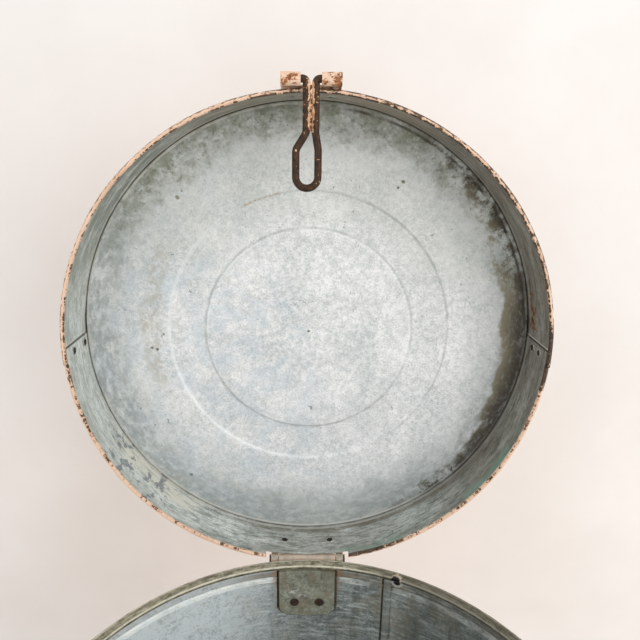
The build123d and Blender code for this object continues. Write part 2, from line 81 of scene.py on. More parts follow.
# %% Camera
CAMERA_PLACE = (-0.00194, -0.19864, 0.60363)
CAMERA_YAW = -0.0242
CAMERA_PITCH = 0.3042
CAMERA_ROLL = 0.0146
CAMERA_LENS = 33.75
SENSOR_WIDTH = 36

camera_data = bpy.data.cameras.new("camera")
camera_data.lens = CAMERA_LENS
camera_data.sensor_width = SENSOR_WIDTH
camera = bpy.data.objects.new("camera", camera_data)
bpy.context.scene.collection.objects.link(camera)
camera.matrix_world = (
    Matrix.Translation(CAMERA_PLACE)
    @ Matrix.Rotation(CAMERA_YAW, 4, "Z")
    @ Matrix.Rotation(math.pi / 2 - CAMERA_PITCH, 4, "X")
    @ Matrix.Rotation(CAMERA_ROLL, 4, "Z")
)
bpy.context.scene.camera = camera
bpy.context.scene.view_settings.view_transform = "Standard"
print("camera looks down by", round(math.degrees(CAMERA_PITCH), 1), "degrees")

# %% [markdown]
# ## A short way to write nodes
# Materials are long lists of small steps. A bench keeps the node tree at hand and offers a few
# words for the steps that come back all the time: add a node, do a sum, ease between two limits,
# blend two colours, lay a coat over the skin so far, and read a cloud of noise.


# %% Node bench
class Bench:
    """What lies on the bench: a node tree and, for a material, its shader, place and colour."""
    name = tree = shader = place = skin = None


bench = Bench()


def colour(red, green, blue):
    """A colour as read on a screen, from 0 to 255, turned into the light values that nodes use."""
    shares = [value / 255 for value in (red, green, blue)]
    return [s / 12.92 if s <= 0.04045 else ((s + 0.055) / 1.055) ** 2.4 for s in shares] + [1.0]


def feed(socket, value):
    """Give a socket its value: another node's output, or a constant."""
    if isinstance(value, bpy.types.NodeSocket):
        bench.tree.links.new(value, socket)
    else:
        socket.default_value = value


def add(kind, feeds=None, **settings):
    made = bench.tree.nodes.new("ShaderNode" + kind)
    for name, value in settings.items():
        setattr(made, name, value)
    for key, value in (feeds or {}).items():
        feed(made.inputs[key], value)
    return made


def maths(operation, *values):
    return add("Math", dict(enumerate(values)), operation=operation).outputs[0]


def chain(operation, values):
    total = values[0]
    for value in values[1:]:
        total = maths(operation, total, value)
    return total


def times(*values):
    return chain("MULTIPLY", values)


def plus(*values):
    return chain("ADD", values)


def most(*values):
    return chain("MAXIMUM", values)


def ease(value, low, high, to_low=0.0, to_high=1.0):
    feeds = dict(enumerate((value, low, high, to_low, to_high)))
    return add("MapRange", feeds, interpolation_type="SMOOTHSTEP").outputs[0]


def band(value, middle, half, soft):
    """1 near the middle value, falling to 0 over the soft width at both sides."""
    return ease(maths("ABSOLUTE", maths("SUBTRACT", value, middle)), half + soft, half)


def blend(share, first, second):
    return add("Mix", {0: share, 6: first, 7: second}, data_type="RGBA").outputs[2]


def coat(tone, *masks):
    """Lay a colour over the skin, as far as all the masks let it."""
    tone = colour(*tone) if isinstance(tone, tuple) else tone
    bench.skin = blend(times(*masks), bench.skin, tone)


def cloud(place, scale, detail=3.0, roughness=0.5, distortion=0.0):
    words = ("Vector", "Scale", "Detail", "Roughness", "Distortion")
    values = (place, scale, detail, roughness, distortion)
    return add("TexNoise", dict(zip(words, values))).outputs[0]


def sway(noise_value, reach):
    """Noise that goes both ways from nothing."""
    return times(maths("SUBTRACT", noise_value, 0.5), reach)


def lay_grain(noise_value, dark, pale):
    """Start the skin as a mix of two colours."""
    bench.skin = blend(ease(noise_value, 0.3, 0.7), colour(*dark), colour(*pale))


def count_nodes():
    print(bench.name, "has", len(bench.tree.nodes), "nodes")


print("peach reads as", [round(value, 3) for value in colour(240, 205, 176)])

# %% [markdown]
# The tin is round, so most marks are placed by their distance from its axis and by how far they
# lie to one side of it. Noise is also laid round the axis, so that a streak follows the wall.


# %% Round about the axis
def vector(operation, *values):
    made = add("VectorMath", dict(enumerate(values)), operation=operation)
    gives_number = operation in ("LENGTH", "DOT_PRODUCT", "DISTANCE")
    return made.outputs["Value" if gives_number else 0]


def stretch(place, factors):
    return vector("MULTIPLY", place, factors)


def parts(place):
    return add("SeparateXYZ", {0: place}).outputs


def from_axis(place):
    return vector("LENGTH", stretch(place, (1, 1, 0)))


def toward(place, azimuth):
    """How far a point lies to one side of the axis: 1 on that side, 0 at a right angle to it."""
    turn = vector("NORMALIZE", stretch(place, (1, 1, 0)))
    way = (math.cos(math.radians(azimuth)), math.sin(math.radians(azimuth)), 0)
    return vector("DOT_PRODUCT", turn, way)


def side(azimuth, *limits):
    """An eased mask of one side of the piece."""
    return ease(toward(bench.place, azimuth), *limits)


def wrap(place, along, outwards=0.0, upwards=0.0):
    """Coordinates round the axis, so that a noise can be long one way and short the other."""
    turn = vector("NORMALIZE", stretch(place, (1, 1, 0)))
    height = times(parts(place)[2], upwards)
    level = maths("MULTIPLY_ADD", from_axis(place), outwards, height)
    lift = add("CombineXYZ", {2: level}).outputs[0]
    return vector("ADD", stretch(turn, (along, along, 0)), lift)


print("azimuth 90 points at the hinge")

# %% [markdown]
# What more than one material needs is made once, as a node group with sockets of its own.


# %% Groups
def new_group(name, inputs, outputs):
    """Put an empty node group on the bench: its input sockets by name, its output sockets."""
    tree = bpy.data.node_groups.new(name, "ShaderNodeTree")
    for word, kind, value in inputs:
        kind = "NodeSocket" + kind
        socket = tree.interface.new_socket(name=word, in_out="INPUT", socket_type=kind)
        if value is not None:
            socket.default_value = value
    for word, kind in outputs:
        tree.interface.new_socket(name=word, in_out="OUTPUT", socket_type="NodeSocket" + kind)
    bench.name, bench.tree = name, tree
    return tree.nodes.new("NodeGroupInput").outputs, tree.nodes.new("NodeGroupOutput").inputs


def use_group(name, **feeds):
    """A group placed in the tree, with its own values: its outputs."""
    node = bench.tree.nodes.new("ShaderNodeGroup")
    node.node_tree = bpy.data.node_groups[name]
    for key, value in feeds.items():
        feed(node.inputs[key], value)
    return node.outputs


print("groups so far:", len(bpy.data.node_groups))

# %% [markdown]
# ## Mottle
# Old zinc is never one grey. It has fine crystals about a millimetre across, soft clouds of a few
# centimetres, and stray dark specks. Three noises of different size, added up, give all of it.
# It is a group, because the lid, the body, the bottom and the hinge plate all need it.

# %% Group: mottle
given, out = new_group(
    "zinc_mottle",
    [("Place", "Vector", None), ("Crystal", "Float", 800.0), ("Cloud", "Float", 45.0)],
    [("Mottle", "Float"), ("Specks", "Float"), ("Height", "Float")],
)
crystals = cloud(given["Place"], given["Crystal"], 2.0, 0.7)
patches = cloud(given["Place"], times(given["Crystal"], 0.34), 4.0, 0.65)
clouds = cloud(given["Place"], given["Cloud"], 5.0, 0.6, 0.4)
crystal_part = ease(crystals, 0.38, 0.62, 0.0, 0.35)
patch_part = ease(patches, 0.36, 0.64, 0.0, 0.35)
cloud_part = ease(clouds, 0.34, 0.66, 0.0, 0.30)
feed(out["Mottle"], plus(crystal_part, patch_part, cloud_part))
speck_noise = cloud(given["Place"], times(given["Crystal"], 0.5), 2.0, 0.6, 0.8)
speck_rooms = cloud(given["Place"], times(given["Crystal"], 0.07), 3.0, 0.6)
speck_limit = ease(speck_rooms, 0.35, 0.65, 0.76, 0.665)
feed(out["Specks"], ease(maths("SUBTRACT", speck_noise, speck_limit), 0.0, 0.035))
feed(out["Height"], plus(crystal_part, patch_part))
count_nodes()

# %% [markdown]
# ## Chips
# Brittle paint comes off in flakes with crisp borders, most of all on edges. A noise cut at a
# threshold gives such flakes: raising the amount lets more of the noise through. The mask also
# gives the paint its thickness, so that light catches the border of each flake.

# %% Group: chips
given, out = new_group(
    "paint_chips", [("Place", "Vector", None), ("Size", "Float", 260.0), ("Amount", "Float", 0.2)],
    [("Chips", "Float"), ("Thin", "Float"), ("Height", "Float")],
)
flakes = cloud(given["Place"], given["Size"], 4.0, 0.62, 0.6)
bites = cloud(given["Place"], times(given["Size"], 3.1), 2.0, 0.5)
ragged = plus(times(flakes, 0.78), times(bites, 0.22))
limit = ease(given["Amount"], 0.0, 1.0, 0.70, 0.34)
above = maths("SUBTRACT", ragged, limit)
chips = ease(above, -0.006, 0.012)
feed(out["Chips"], chips)
feed(out["Thin"], ease(above, -0.07, 0.0))
feed(out["Height"], maths("SUBTRACT", 1.0, chips))
count_nodes()

# %% [markdown]
# ## Rust
# Where zinc has worn through, iron rusts from orange to dark brown, in blotches that fade out at
# their borders. The group colours and masks it, and each material says where it may grow.

# %% Group: rust
given, out = new_group(
    "rust_bloom", [("Place", "Vector", None), ("Size", "Float", 160.0), ("Amount", "Float", 0.3)],
    [("Colour", "Color"), ("Mask", "Float")],
)
bloom = cloud(given["Place"], given["Size"], 5.0, 0.65, 0.5)
tone = cloud(given["Place"], times(given["Size"], 2.3), 3.0, 0.6)
reach = plus(bloom, times(given["Amount"], 0.5))
feed(out["Mask"], times(ease(reach, 0.58, 0.86), ease(given["Amount"], 0.0, 0.15)))
feed(out["Colour"], blend(ease(tone, 0.3, 0.7), colour(62, 42, 28), colour(158, 106, 62)))
count_nodes()


# %% [markdown]
# ## How a material starts
# Each finish has one Principled shader. Patterns read the Object coordinates, in metres. On the
# lid a Mapping node turns them into the lid's own axes, so rings and stains are drawn about the
# lid's middle. The pieces are posed as whole objects, so the patterns travel with them.


# %% Material starter
def start_material(name, on_lid=False, roughness=0.6, metallic=0.0):
    """Put a new material on the bench: the material and its place vector."""
    made = bpy.data.materials.new(name)
    made.use_nodes = True
    bench.name, bench.tree = name, made.node_tree
    bench.shader = made.node_tree.nodes["Principled BSDF"]
    bench.shader.inputs["Roughness"].default_value = roughness
    bench.shader.inputs["Metallic"].default_value = metallic
    place = add("TexCoord").outputs["Object"]
    if on_lid:
        feeds = {
            "Vector": place,
            "Location": lid_place.translation,
            "Rotation": lid_place.to_euler(),
        }
        place = add("Mapping", feeds, vector_type="TEXTURE").outputs[0]
    bench.place = place
    return made, place


def lay_zinc(crystal, cloud_size, dark, pale):
    """Start the skin with mottled zinc: the mottle's outputs."""
    mottle = use_group("zinc_mottle", Place=bench.place, Crystal=crystal, Cloud=cloud_size)
    bench.skin = blend(mottle["Mottle"], colour(*dark), colour(*pale))
    return mottle


def close_finish(relief, depth, strength, roughness=None):
    """Feed the shader with the skin, a small relief (depth in metres) and the roughness."""
    feed(bench.shader.inputs["Base Color"], bench.skin)
    if roughness is not None:
        feed(bench.shader.inputs["Roughness"], roughness)
    bump = add("Bump", {"Height": relief, "Distance": depth, "Strength": strength})
    feed(bench.shader.inputs["Normal"], bump.outputs[0])
    count_nodes()


print("materials so far:", len(bpy.data.materials))

# %% [markdown]
# ## Zinc inside the lid panel
# The disc is palest in the middle, where hands wiped it, and greyer towards its seam. Blue-grey
# and warm smears run round it, because that is how a cloth moves in a round lid. The distance to
# the middle is disturbed by noise first, because no real stain has a ruled border.

# %% Lid panel, inside
PANEL_EDGE = 151.25 * MM
RING_RADII = (71.7 * MM, 97.1 * MM)

lid_zinc, place = start_material("lid_panel_zinc", on_lid=True, metallic=0.1)
radius = from_axis(place)
wander = cloud(place, 30.0, 5.0, 0.6)
fray = cloud(place, 150.0, 4.0, 0.65)
smears = cloud(wrap(place, 4.5, 60.0), 1.0, 4.0, 0.6)
wipes = cloud(wrap(place, 16.0, 230.0), 1.0, 5.0, 0.72)
wandering = sway(wander, 36 * MM)
fraying = sway(fray, 18 * MM)
fuzzy_radius = plus(radius, wandering, fraying)

mottle = lay_zinc(820.0, 32.0, (186, 193, 193), (255, 255, 255))
worn = ease(fuzzy_radius, 96 * MM, 138 * MM, 0.0, 0.36)
coat((186, 193, 192), worn)

blue_side = times(side(160, -0.3, 0.8), ease(smears, 0.42, 0.66))
coat((186, 201, 213), blue_side, 0.40)
white_side = times(ease(smears, 0.48, 0.30), ease(radius, 60 * MM, 110 * MM))
coat((232, 235, 233), white_side, 0.45)

ring_places = plus(radius, sway(wander, 22 * MM))
warm_ring = times(
    band(ring_places, 110 * MM, 3 * MM, 5 * MM), side(186, 0.80, 0.96), ease(wipes, 0.34, 0.62),
)
coat((170, 163, 140), warm_ring, 0.46)
count_nodes()

# %% [markdown]
# Damp left grey-green clouds along the seam and olive mould blotches below the hasp. On the right a
# brown crescent follows the wall of the lid. It is partly stain and partly the painted shadow that
# the lid's right wall throws onto the disc. It is widest level with the lap and runs out above and
# below, so its inner border is drawn as a radius that depends on the direction.

# %% Lid panel, stains and painted shadow
blotches = cloud(place, 95.0, 5.0, 0.7)
edge_grey = times(ease(fuzzy_radius, 124 * MM, 146 * MM), ease(wipes, 0.36, 0.62, 0.08, 0.66))
coat((228, 232, 230), ease(wipes, 0.54, 0.36), ease(radius, 112 * MM, 134 * MM), 0.35)
coat((142, 149, 147), edge_grey)

high_side = side(275, 0.15, 0.62)
coat((184, 188, 181), ease(fuzzy_radius, 56 * MM, 98 * MM), high_side, 0.36)
low_side = times(ease(fuzzy_radius, 112 * MM, 138 * MM), side(84, 0.62, 0.97))
coat((134, 142, 141), low_side, 0.46)
olive_haze = times(ease(fuzzy_radius, 126 * MM, 148 * MM), high_side, ease(blotches, 0.36, 0.60))
coat((126, 130, 108), olive_haze, 0.72)
olive_spots = times(
    ease(fuzzy_radius, 128 * MM, 144 * MM), high_side,
    ease(cloud(place, 300.0, 4.0, 0.75), 0.51, 0.62),
)
coat((92, 96, 72), olive_spots, 0.45)

# The crescent is partly stain and partly painted shadow of the lid's right wall on the disc.
crescent_reach = most(side(-10, 0.55, 1.0, 0.0, 15.5 * MM), side(36, 0.80, 0.96, 0.0, 7.5 * MM))
crescent_fray = plus(sway(cloud(place, 60.0, 3.0, 0.55), 15 * MM), times(fraying, 0.16))
crescent_inside = plus(radius, crescent_reach, crescent_fray)
shadow_and_stain_crescent = ease(crescent_inside, 149.6 * MM, 152.6 * MM)
patchy = most(ease(blotches, 0.40, 0.58), side(12, 0.80, 0.94))
shadow_and_stain_crescent = times(shadow_and_stain_crescent, patchy, side(0, 0.30, 0.66))
crescent_tone = ease(plus(radius, times(crescent_fray, 0.8)), 136 * MM, 150 * MM)
crescent_skin = blend(crescent_tone, colour(144, 136, 110), colour(54, 44, 32))
crescent_skin = blend(ease(wipes, 0.5, 0.66, 0.0, 0.40), crescent_skin, colour(130, 124, 104))
coat(crescent_skin, shadow_and_stain_crescent, ease(wipes, 0.30, 0.55, 0.66, 0.94))
count_nodes()

# %% [markdown]
# Each pressed step has a thin broken line of painted shade and, beside it, a line of painted
# highlight, as the lamp at the right would light the step's slopes. At the seam a painted highlight
# runs along the panel's rounded edge, and painted shade fills the groove beyond it. The compass
# point that the sheet was marked out from is still there as one dark dot, with a few stray drops
# round about.

# %% Lid panel, lines and spots
# Painted shade and painted highlights along the two pressed steps.
line_breaks = ease(cloud(place, 70.0, 4.0, 0.6), 0.34, 0.6)
inner_step_shade = times(band(radius, RING_RADII[0] + 0.9 * MM, 0.3 * MM, 1.0 * MM), line_breaks)
coat((118, 122, 118), inner_step_shade, 0.34)
inner_step_highlight = times(
    band(radius, RING_RADII[0] - 0.9 * MM, 0.3 * MM, 0.7 * MM), ease(wander, 0.4, 0.6),
)
coat((246, 249, 248), inner_step_highlight, 0.4)
outer_step_highlight = times(
    band(radius, RING_RADII[1] + 0.2 * MM, 0.7 * MM, 0.9 * MM), side(165, 0.1, 0.6),
    ease(fray, 0.3, 0.5, 0.45, 1.0),
)
coat((240, 244, 244), outer_step_highlight, 0.45)
outer_step_shade = times(
    band(radius, RING_RADII[1] + 0.6 * MM, 0.2 * MM, 0.9 * MM), side(-20, -0.1, 0.6), line_breaks,
)
coat((118, 120, 114), outer_step_shade, 0.34)
ochre_line = times(
    band(radius, RING_RADII[1], 0.2 * MM, 0.7 * MM), side(250, 0.985, 0.994),
    ease(cloud(place, 420.0, 2.0, 0.6), 0.40, 0.56),
)
coat((166, 138, 92), ochre_line, 0.62)
coat((104, 107, 100), mottle["Specks"], 0.66)

SPOTS = [
    (0, 0, 0.8, (38, 36, 34)), (58.2, -99.6, 0.6, (50, 54, 42)),
    (61.2, -103.5, 0.7, (88, 98, 60)), (-101, 2.4, 0.9, (86, 88, 84)),
    (-106, 13, 0.7, (84, 84, 78)), (-109.5, 12, 0.8, (112, 110, 100)),
    (-87, -92, 0.9, (122, 126, 90)), (-84, -96, 0.7, (134, 134, 98)),
    (-86, 110, 0.9, (104, 110, 110)),
]
for across_mm, down_mm, size_mm, tone in SPOTS:
    away = vector("DISTANCE", stretch(place, (1, 1, 0)), (across_mm * MM, down_mm * MM, 0))
    ragged = plus(away, times(fraying, 0.22))
    spot = ease(ragged, (size_mm + 0.5) * MM, (size_mm - 0.3) * MM)
    coat(tone, spot, 0.85)

at_hinge = side(90, 0.25, 0.75)
# A painted highlight on the panel's rounded edge, weaker on the right, and painted shade in the
# groove beyond it.
seam_highlight = times(
    band(radius, PANEL_EDGE + 0.6 * MM, 0.5 * MM, 0.6 * MM),
    most(line_breaks, at_hinge),
)
coat((214, 211, 203), seam_highlight, side(-12, 0.1, 0.6, 0.7, 0.2))
seam_groove_shade = ease(radius, PANEL_EDGE + 1.5 * MM, PANEL_EDGE + 1.9 * MM)
coat((82, 80, 70), seam_groove_shade, ease(at_hinge, 0.0, 1.0, 0.6, 0.1))
seam_brown = times(
    band(radius, PANEL_EDGE - 1.6 * MM, 0.4 * MM, 0.8 * MM), side(-50, 0.5, 0.9), line_breaks,
)
coat((50, 40, 30), seam_brown, 0.75)
close_finish(mottle["Height"], 0.05 * MM, 0.7, ease(mottle["Mottle"], 0.0, 1.0, 0.74, 0.55))

# %% [markdown]
# ## Zinc inside the lid's side strips
# The strips are duller than the disc, streaked and scratched round the lid. Their colour changes
# on the way round: grey-green and fairly clean at the left and at the hinge, brown below the hasp
# and nearly black at the upper right. The pale left is painted light, and the dark right is partly
# stain and partly painted shade, as the lamp at the right lights the left strip and not the right
# one. Two rust blooms sit beside the right lap. A little green-blue paint was brushed over the
# inner edge at the lower right.

# %% Lid strips, inside
REAR_INNER = 153.3 * MM

strip_zinc, place = start_material("lid_strip_zinc", on_lid=True, metallic=0.1)
along_axis = parts(place)[2]
mottle = lay_zinc(640.0, 52.0, (154, 161, 155), (234, 238, 235))
streaks = cloud(wrap(place, 7.0, 0.0, 260.0), 1.0, 5.0, 0.65)
scratches = cloud(wrap(place, 24.0, 0.0, 900.0), 1.0, 3.0, 0.65)
coat((114, 119, 108), ease(streaks, 0.50, 0.38, 0.0, 0.60))
coat((232, 236, 232), ease(streaks, 0.52, 0.64, 0.0, 0.62))
coat((92, 95, 84), ease(scratches, 0.48, 0.37, 0.0, 0.52))
coat((236, 240, 236), ease(scratches, 0.54, 0.64, 0.0, 0.55))

uneven = cloud(wrap(place, 5.0, 0.0, 90.0), 1.0, 5.0, 0.7)
hem_shade = times(ease(along_axis, 4 * MM, -9 * MM), ease(uneven, 0.3, 0.6, 0.35, 1.0))
coat((100, 105, 90), hem_shade, 0.48)
# Painted light on the left strip, which faces the lamp at the right.
coat((226, 232, 226), side(165, 0.5, 0.95, 0.0, 0.32))
cream = times(side(137, 0.95, 0.99), ease(along_axis, 2 * MM, 10 * MM), ease(streaks, 0.40, 0.54))
coat((226, 222, 206), cream, 0.8)
slate = times(side(143, 0.95, 0.99), ease(cloud(place, 130.0, 3.0, 0.6), 0.54, 0.62))
coat((96, 106, 116), slate, 0.7)
count_nodes()

# %% [markdown]
# Dirt and rust come after the bare zinc, because they lie on top of it: soot and brown grease
# first, partly painted shade on the right, then grime at the hinge, painted shade below the seam
# with the panel, a painted highlight and painted shade along the edges where the strips lap, rust
# and overspray, and last painted shade and a painted highlight where the strips meet the panel.

# %% Lid strips, stains and painted shade
# Brown grease and soot on the right, partly painted shade where the strips face away from the lamp.
browned_and_shaded = times(side(-12, 0.30, 0.72), ease(uneven, 0.28, 0.6, 0.62, 1.0))
coat((104, 88, 70), browned_and_shaded, 0.70)
coat((156, 150, 138), browned_and_shaded, ease(scratches, 0.52, 0.60), 0.62)
coat((58, 50, 38), browned_and_shaded, ease(streaks, 0.46, 0.36), 0.6)
low_right = times(side(32, 0.6, 0.95), ease(uneven, 0.3, 0.6, 0.5, 1.0))
coat((92, 97, 88), low_right, 0.40)
soot_and_shade = times(side(-50, 0.62, 0.92), ease(uneven, 0.25, 0.55, 0.6, 1.0))
coat((92, 84, 66), soot_and_shade, 0.30)
tanned = times(side(268, 0.80, 0.97), ease(streaks, 0.3, 0.6, 0.5, 1.0))
coat((158, 136, 110), tanned, 0.60)
mossy = times(side(228, 0.72, 0.95), ease(uneven, 0.36, 0.6))
coat((108, 112, 96), mossy, 0.55)

hinge_grime = times(side(86, 0.90, 0.985), ease(uneven, 0.3, 0.56, 0.3, 1.0))
coat((106, 106, 92), hinge_grime, 0.46)
# Painted shade below the seam with the panel, near the hinge.
shade_under_seam = times(
    band(along_axis, 21 * MM, 1.5 * MM, 3 * MM), side(72, 0.6, 0.95),
    ease(uneven, 0.3, 0.54, 0.2, 1.0),
)
coat((104, 94, 76), shade_under_seam, 0.55)
lap_away = times(toward(place, 90), REAR_INNER)
at_laps = ease(maths("ABSOLUTE", toward(place, 0)), 0.9, 0.99)
# A painted highlight and painted shade along the edges where the strips lap.
lap_edge_highlight = times(band(lap_away, -0.5 * MM, 0.25 * MM, 0.35 * MM), at_laps)
coat((222, 218, 206), lap_edge_highlight, 0.8)
lap_edge_shade = times(band(lap_away, 0.4 * MM, 0.35 * MM, 0.4 * MM), at_laps)
coat((58, 54, 46), lap_edge_shade, 0.8)
lap_rust = times(
    band(toward(place, 90), -0.12, 0.07, 0.04), side(0, 0.8, 0.9),
    ease(along_axis, 7 * MM, 15 * MM), ease(cloud(place, 120.0, 3.0, 0.6), 0.38, 0.62),
)
rust = use_group("rust_bloom", Place=place, Size=190.0, Amount=times(lap_rust, 0.72))
coat(rust["Colour"], rust["Mask"])
overspray = times(
    ease(along_axis, 0 * MM, -6 * MM), ease(cloud(place, 60.0, 4.0, 0.6), 0.38, 0.56),
    plus(side(34, 0.965, 0.992), side(73, 0.985, 0.996)),
)
coat((122, 158, 142), overspray, 0.55)
# Painted shade in the groove where the strip meets the panel, and a painted highlight just below
# it.
panel_corner_shade = ease(along_axis, 24.6 * MM, 25.6 * MM)
coat((84, 82, 72), panel_corner_shade, side(90, 0.25, 0.75, 0.6, 0.2))
corner_highlight = times(
    band(along_axis, 23.6 * MM, 0.4 * MM, 0.8 * MM), ease(uneven, 0.30, 0.55, 0.3, 1.0),
)
coat((206, 204, 196), corner_highlight, side(-12, 0.1, 0.6, 0.6, 0.3))
coat((70, 70, 62), mottle["Specks"], 0.6)
close_finish(
    plus(mottle["Height"], scratches), 0.06 * MM, 0.7, ease(scratches, 0.2, 0.8, 0.68, 0.52),
)

# %% [markdown]
# ## Zinc inside the body
# Flour and damp left the wall darker than the lid. Its left part is painted lighter and the part to
# the right of the lock seam darker, as painted light and shade from the lamp at the right. Drips
# run down it. The bead has painted shade with some brown dirt in its upper hollow, most of all
# beside the hinge plate, a painted highlight on its lower half and a painted light band above it.
# The plate's upright edges have rusted. Painted shadow lies in the gaps at the plate's edges and
# foot and at the left of the lock seam, with a painted highlight on the seam's right and painted
# shade just under the curl. At the top of the lock seam is a small hole with scraped edges and a
# dark inside painted as shade.

# %% Body wall, inside
BEAD_HEIGHT = 304 * MM
PLATE_HALF = 20 * MM
PLATE_FOOT = 272 * MM
SEAM_AZIMUTH = 68.4
TEAR_PLACE = (61.5 * MM, 137.1 * MM, 311.2 * MM)
PLATE_RIVET_ASIDE = 8.75 * MM
PLATE_RIVET_HEIGHT = BODY_HEIGHT - 36 * MM
PLATE_RIVETS = [(aside, 148 * MM, PLATE_RIVET_HEIGHT)
                for aside in (-PLATE_RIVET_ASIDE, PLATE_RIVET_ASIDE)]

wall_zinc, place = start_material("body_wall_zinc", metallic=0.1)
across, depth, height = parts(place)
mottle = lay_zinc(640.0, 48.0, (98, 106, 103), (174, 182, 180))
drips = cloud(stretch(place, (110, 110, 16)), 1.0, 5.0, 0.65)
rubs = cloud(wrap(place, 12.0, 0.0, 420.0), 1.0, 4.0, 0.65)
coat((82, 90, 84), ease(drips, 0.5, 0.66, 0.0, 0.50))
coat((216, 222, 218), ease(rubs, 0.53, 0.64, 0.0, 0.60))
coat((78, 84, 78), ease(rubs, 0.48, 0.36, 0.0, 0.55))
earthy = times(
    ease(cloud(place, 55.0, 5.0, 0.7), 0.45, 0.62), ease(height, 225 * MM, 300 * MM, 0.15, 1.0),
)
coat((140, 128, 102), earthy, 0.45)
# Painted light on the left part of the wall, which faces the lamp at the right.
lit_left = times(side(165, 0.20, 0.72), ease(mottle["Mottle"], 0.1, 0.6, 0.6, 1.0))
coat((240, 250, 253), lit_left, 0.86)
seam_offset = toward(place, SEAM_AZIMUTH - 90)
# Painted shade to the right of the lock seam, where the wall faces away from the lamp.
shade_right = ease(seam_offset, 0.02, 0.14)
coat((62, 64, 58), shade_right, 0.38)

near_plate = ease(maths("ABSOLUTE", across), 62 * MM, 22 * MM, 0.25, 1.0)
# Painted shade with some brown dirt in the bead's upper hollow, strongest near the hinge plate.
bead_shade_and_dirt = times(
    band(height, BEAD_HEIGHT + 3.6 * MM, 1.4 * MM, 1.8 * MM), near_plate,
    ease(rubs, 0.28, 0.6, 0.4, 1.0),
)
# Painted light on the left: a pale band above the bead and a painted highlight on its lower half.
left_share = side(165, 0.1, 0.7, 0.3, 1.0)
lit_band = times(
    band(height, BEAD_HEIGHT + 8.4 * MM, 1.4 * MM, 1.2 * MM), left_share,
    ease(rubs, 0.3, 0.6, 0.4, 1.0),
)
bead_highlight = times(
    band(height, BEAD_HEIGHT - 1.0 * MM, 0.8 * MM, 1.4 * MM), left_share,
    ease(rubs, 0.34, 0.62, 0.2, 1.0),
)
coat((250, 252, 246), most(lit_band, bead_highlight), 0.85)
coat((132, 108, 78), bead_shade_and_dirt, 0.66)
plate_side = maths("ABSOLUTE", across)
plate_zone = times(
    ease(height, PLATE_FOOT + 5 * MM, PLATE_FOOT + 9 * MM), ease(depth, 0.0, 100 * MM),
)
halo = ease(height, PLATE_FOOT + 20 * MM, 308 * MM, 0.2 * MM, 3.4 * MM)
edge_rust = times(
    ease(maths("SUBTRACT", plate_side, plus(halo, PLATE_HALF)), 3 * MM, -1 * MM), plate_zone,
    ease(cloud(place, 260.0, 4.0, 0.7), 0.36, 0.58, 0.25, 1.0),
)
coat((176, 128, 70), edge_rust, 0.60)
# Painted shadow in the gaps along the plate's upright edges, deepest at the left, and under its
# foot.
edge_gap_shadow = times(
    band(plate_side, PLATE_HALF + 0.4 * MM, 0.5 * MM, 0.5 * MM), plate_zone,
    ease(across, 5 * MM, -5 * MM, 0.6, 0.95),
)
coat((28, 23, 18), edge_gap_shadow)
plate_outline = plus(
    times(maths("POWER", times(plate_side, 1 / PLATE_HALF), 4.0), 6.5 * MM), PLATE_FOOT,
)
foot_gap_shadow = times(
    band(maths("SUBTRACT", height, plate_outline), -0.5 * MM, 0.4 * MM, 0.6 * MM),
    ease(plate_side, PLATE_HALF + 0.6 * MM, PLATE_HALF - 0.4 * MM), ease(depth, 0.0, 100 * MM),
)
coat((46, 40, 30), foot_gap_shadow, ease(plate_side, 6 * MM, 15 * MM, 0.25, 0.85))
coat((62, 64, 58), mottle["Specks"], 0.65)
seam_fold = band(seam_offset, 0.0, 0.017, 0.003)
coat((84, 86, 78), seam_fold, 0.45)
# Painted shadow in the gap at the left of the lock seam, and a painted highlight on its right.
seam_gap_shadow = band(seam_offset, -0.0215, 0.003, 0.004)
coat((32, 31, 26), seam_gap_shadow, 0.88)
seam_highlight = times(band(seam_offset, 0.034, 0.004, 0.010), ease(drips, 0.36, 0.6))
coat((176, 178, 164), seam_highlight, 0.5)
seam_ochre = times(band(seam_offset, -0.030, 0.002, 0.005), ease(height, 250 * MM, 300 * MM))
coat((168, 150, 118), seam_ochre, 0.6)
# Painted shade just under the curl.
shade_under_curl = ease(height, 313.6 * MM, 315.4 * MM)
coat((92, 86, 68), shade_under_curl, 0.5)
# The small hole at the top of the lock seam: scraped pale edges round a dark inside painted as
# shade.
away = plus(vector("DISTANCE", place, TEAR_PLACE), times(rubs, 3 * MM))
coat((214, 210, 198), ease(away, 6.2 * MM, 5.4 * MM, 0.0, 0.7))
coat((24, 20, 17), ease(away, 4.4 * MM, 3.9 * MM))
close_finish(
    plus(mottle["Height"], rubs), 0.06 * MM, 0.7, ease(mottle["Mottle"], 0.0, 1.0, 0.72, 0.52),
)

# %% [markdown]
# ## The rim curl
# The wired curl is where hands and the lid rub, so its zinc is brown with handling and its crest is
# rubbed bright in short dashes. A painted highlight runs along its inner side and its right part is
# painted darker as shade. The small hole at the top of the lock seam shows on it, with scraped
# edges and a dark inside painted as shade.

# %% Rim curl
curl_zinc, place = start_material("rim_curl_zinc", metallic=0.2, roughness=0.5)
height = parts(place)[2]
radius = from_axis(place)
mottle = lay_zinc(620.0, 70.0, (92, 87, 70), (164, 158, 134))
rubs = cloud(wrap(place, 22.0, 700.0, 400.0), 1.0, 4.0, 0.7)
coat((66, 60, 46), ease(rubs, 0.48, 0.38, 0.0, 0.6))
coat((190, 186, 166), ease(rubs, 0.53, 0.63, 0.0, 0.6))
crest = times(band(radius, 148.6 * MM, 0.4 * MM, 0.6 * MM), ease(height, 318 * MM, 319 * MM))
coat((214, 210, 192), crest, ease(rubs, 0.36, 0.56, 0.1, 0.75))
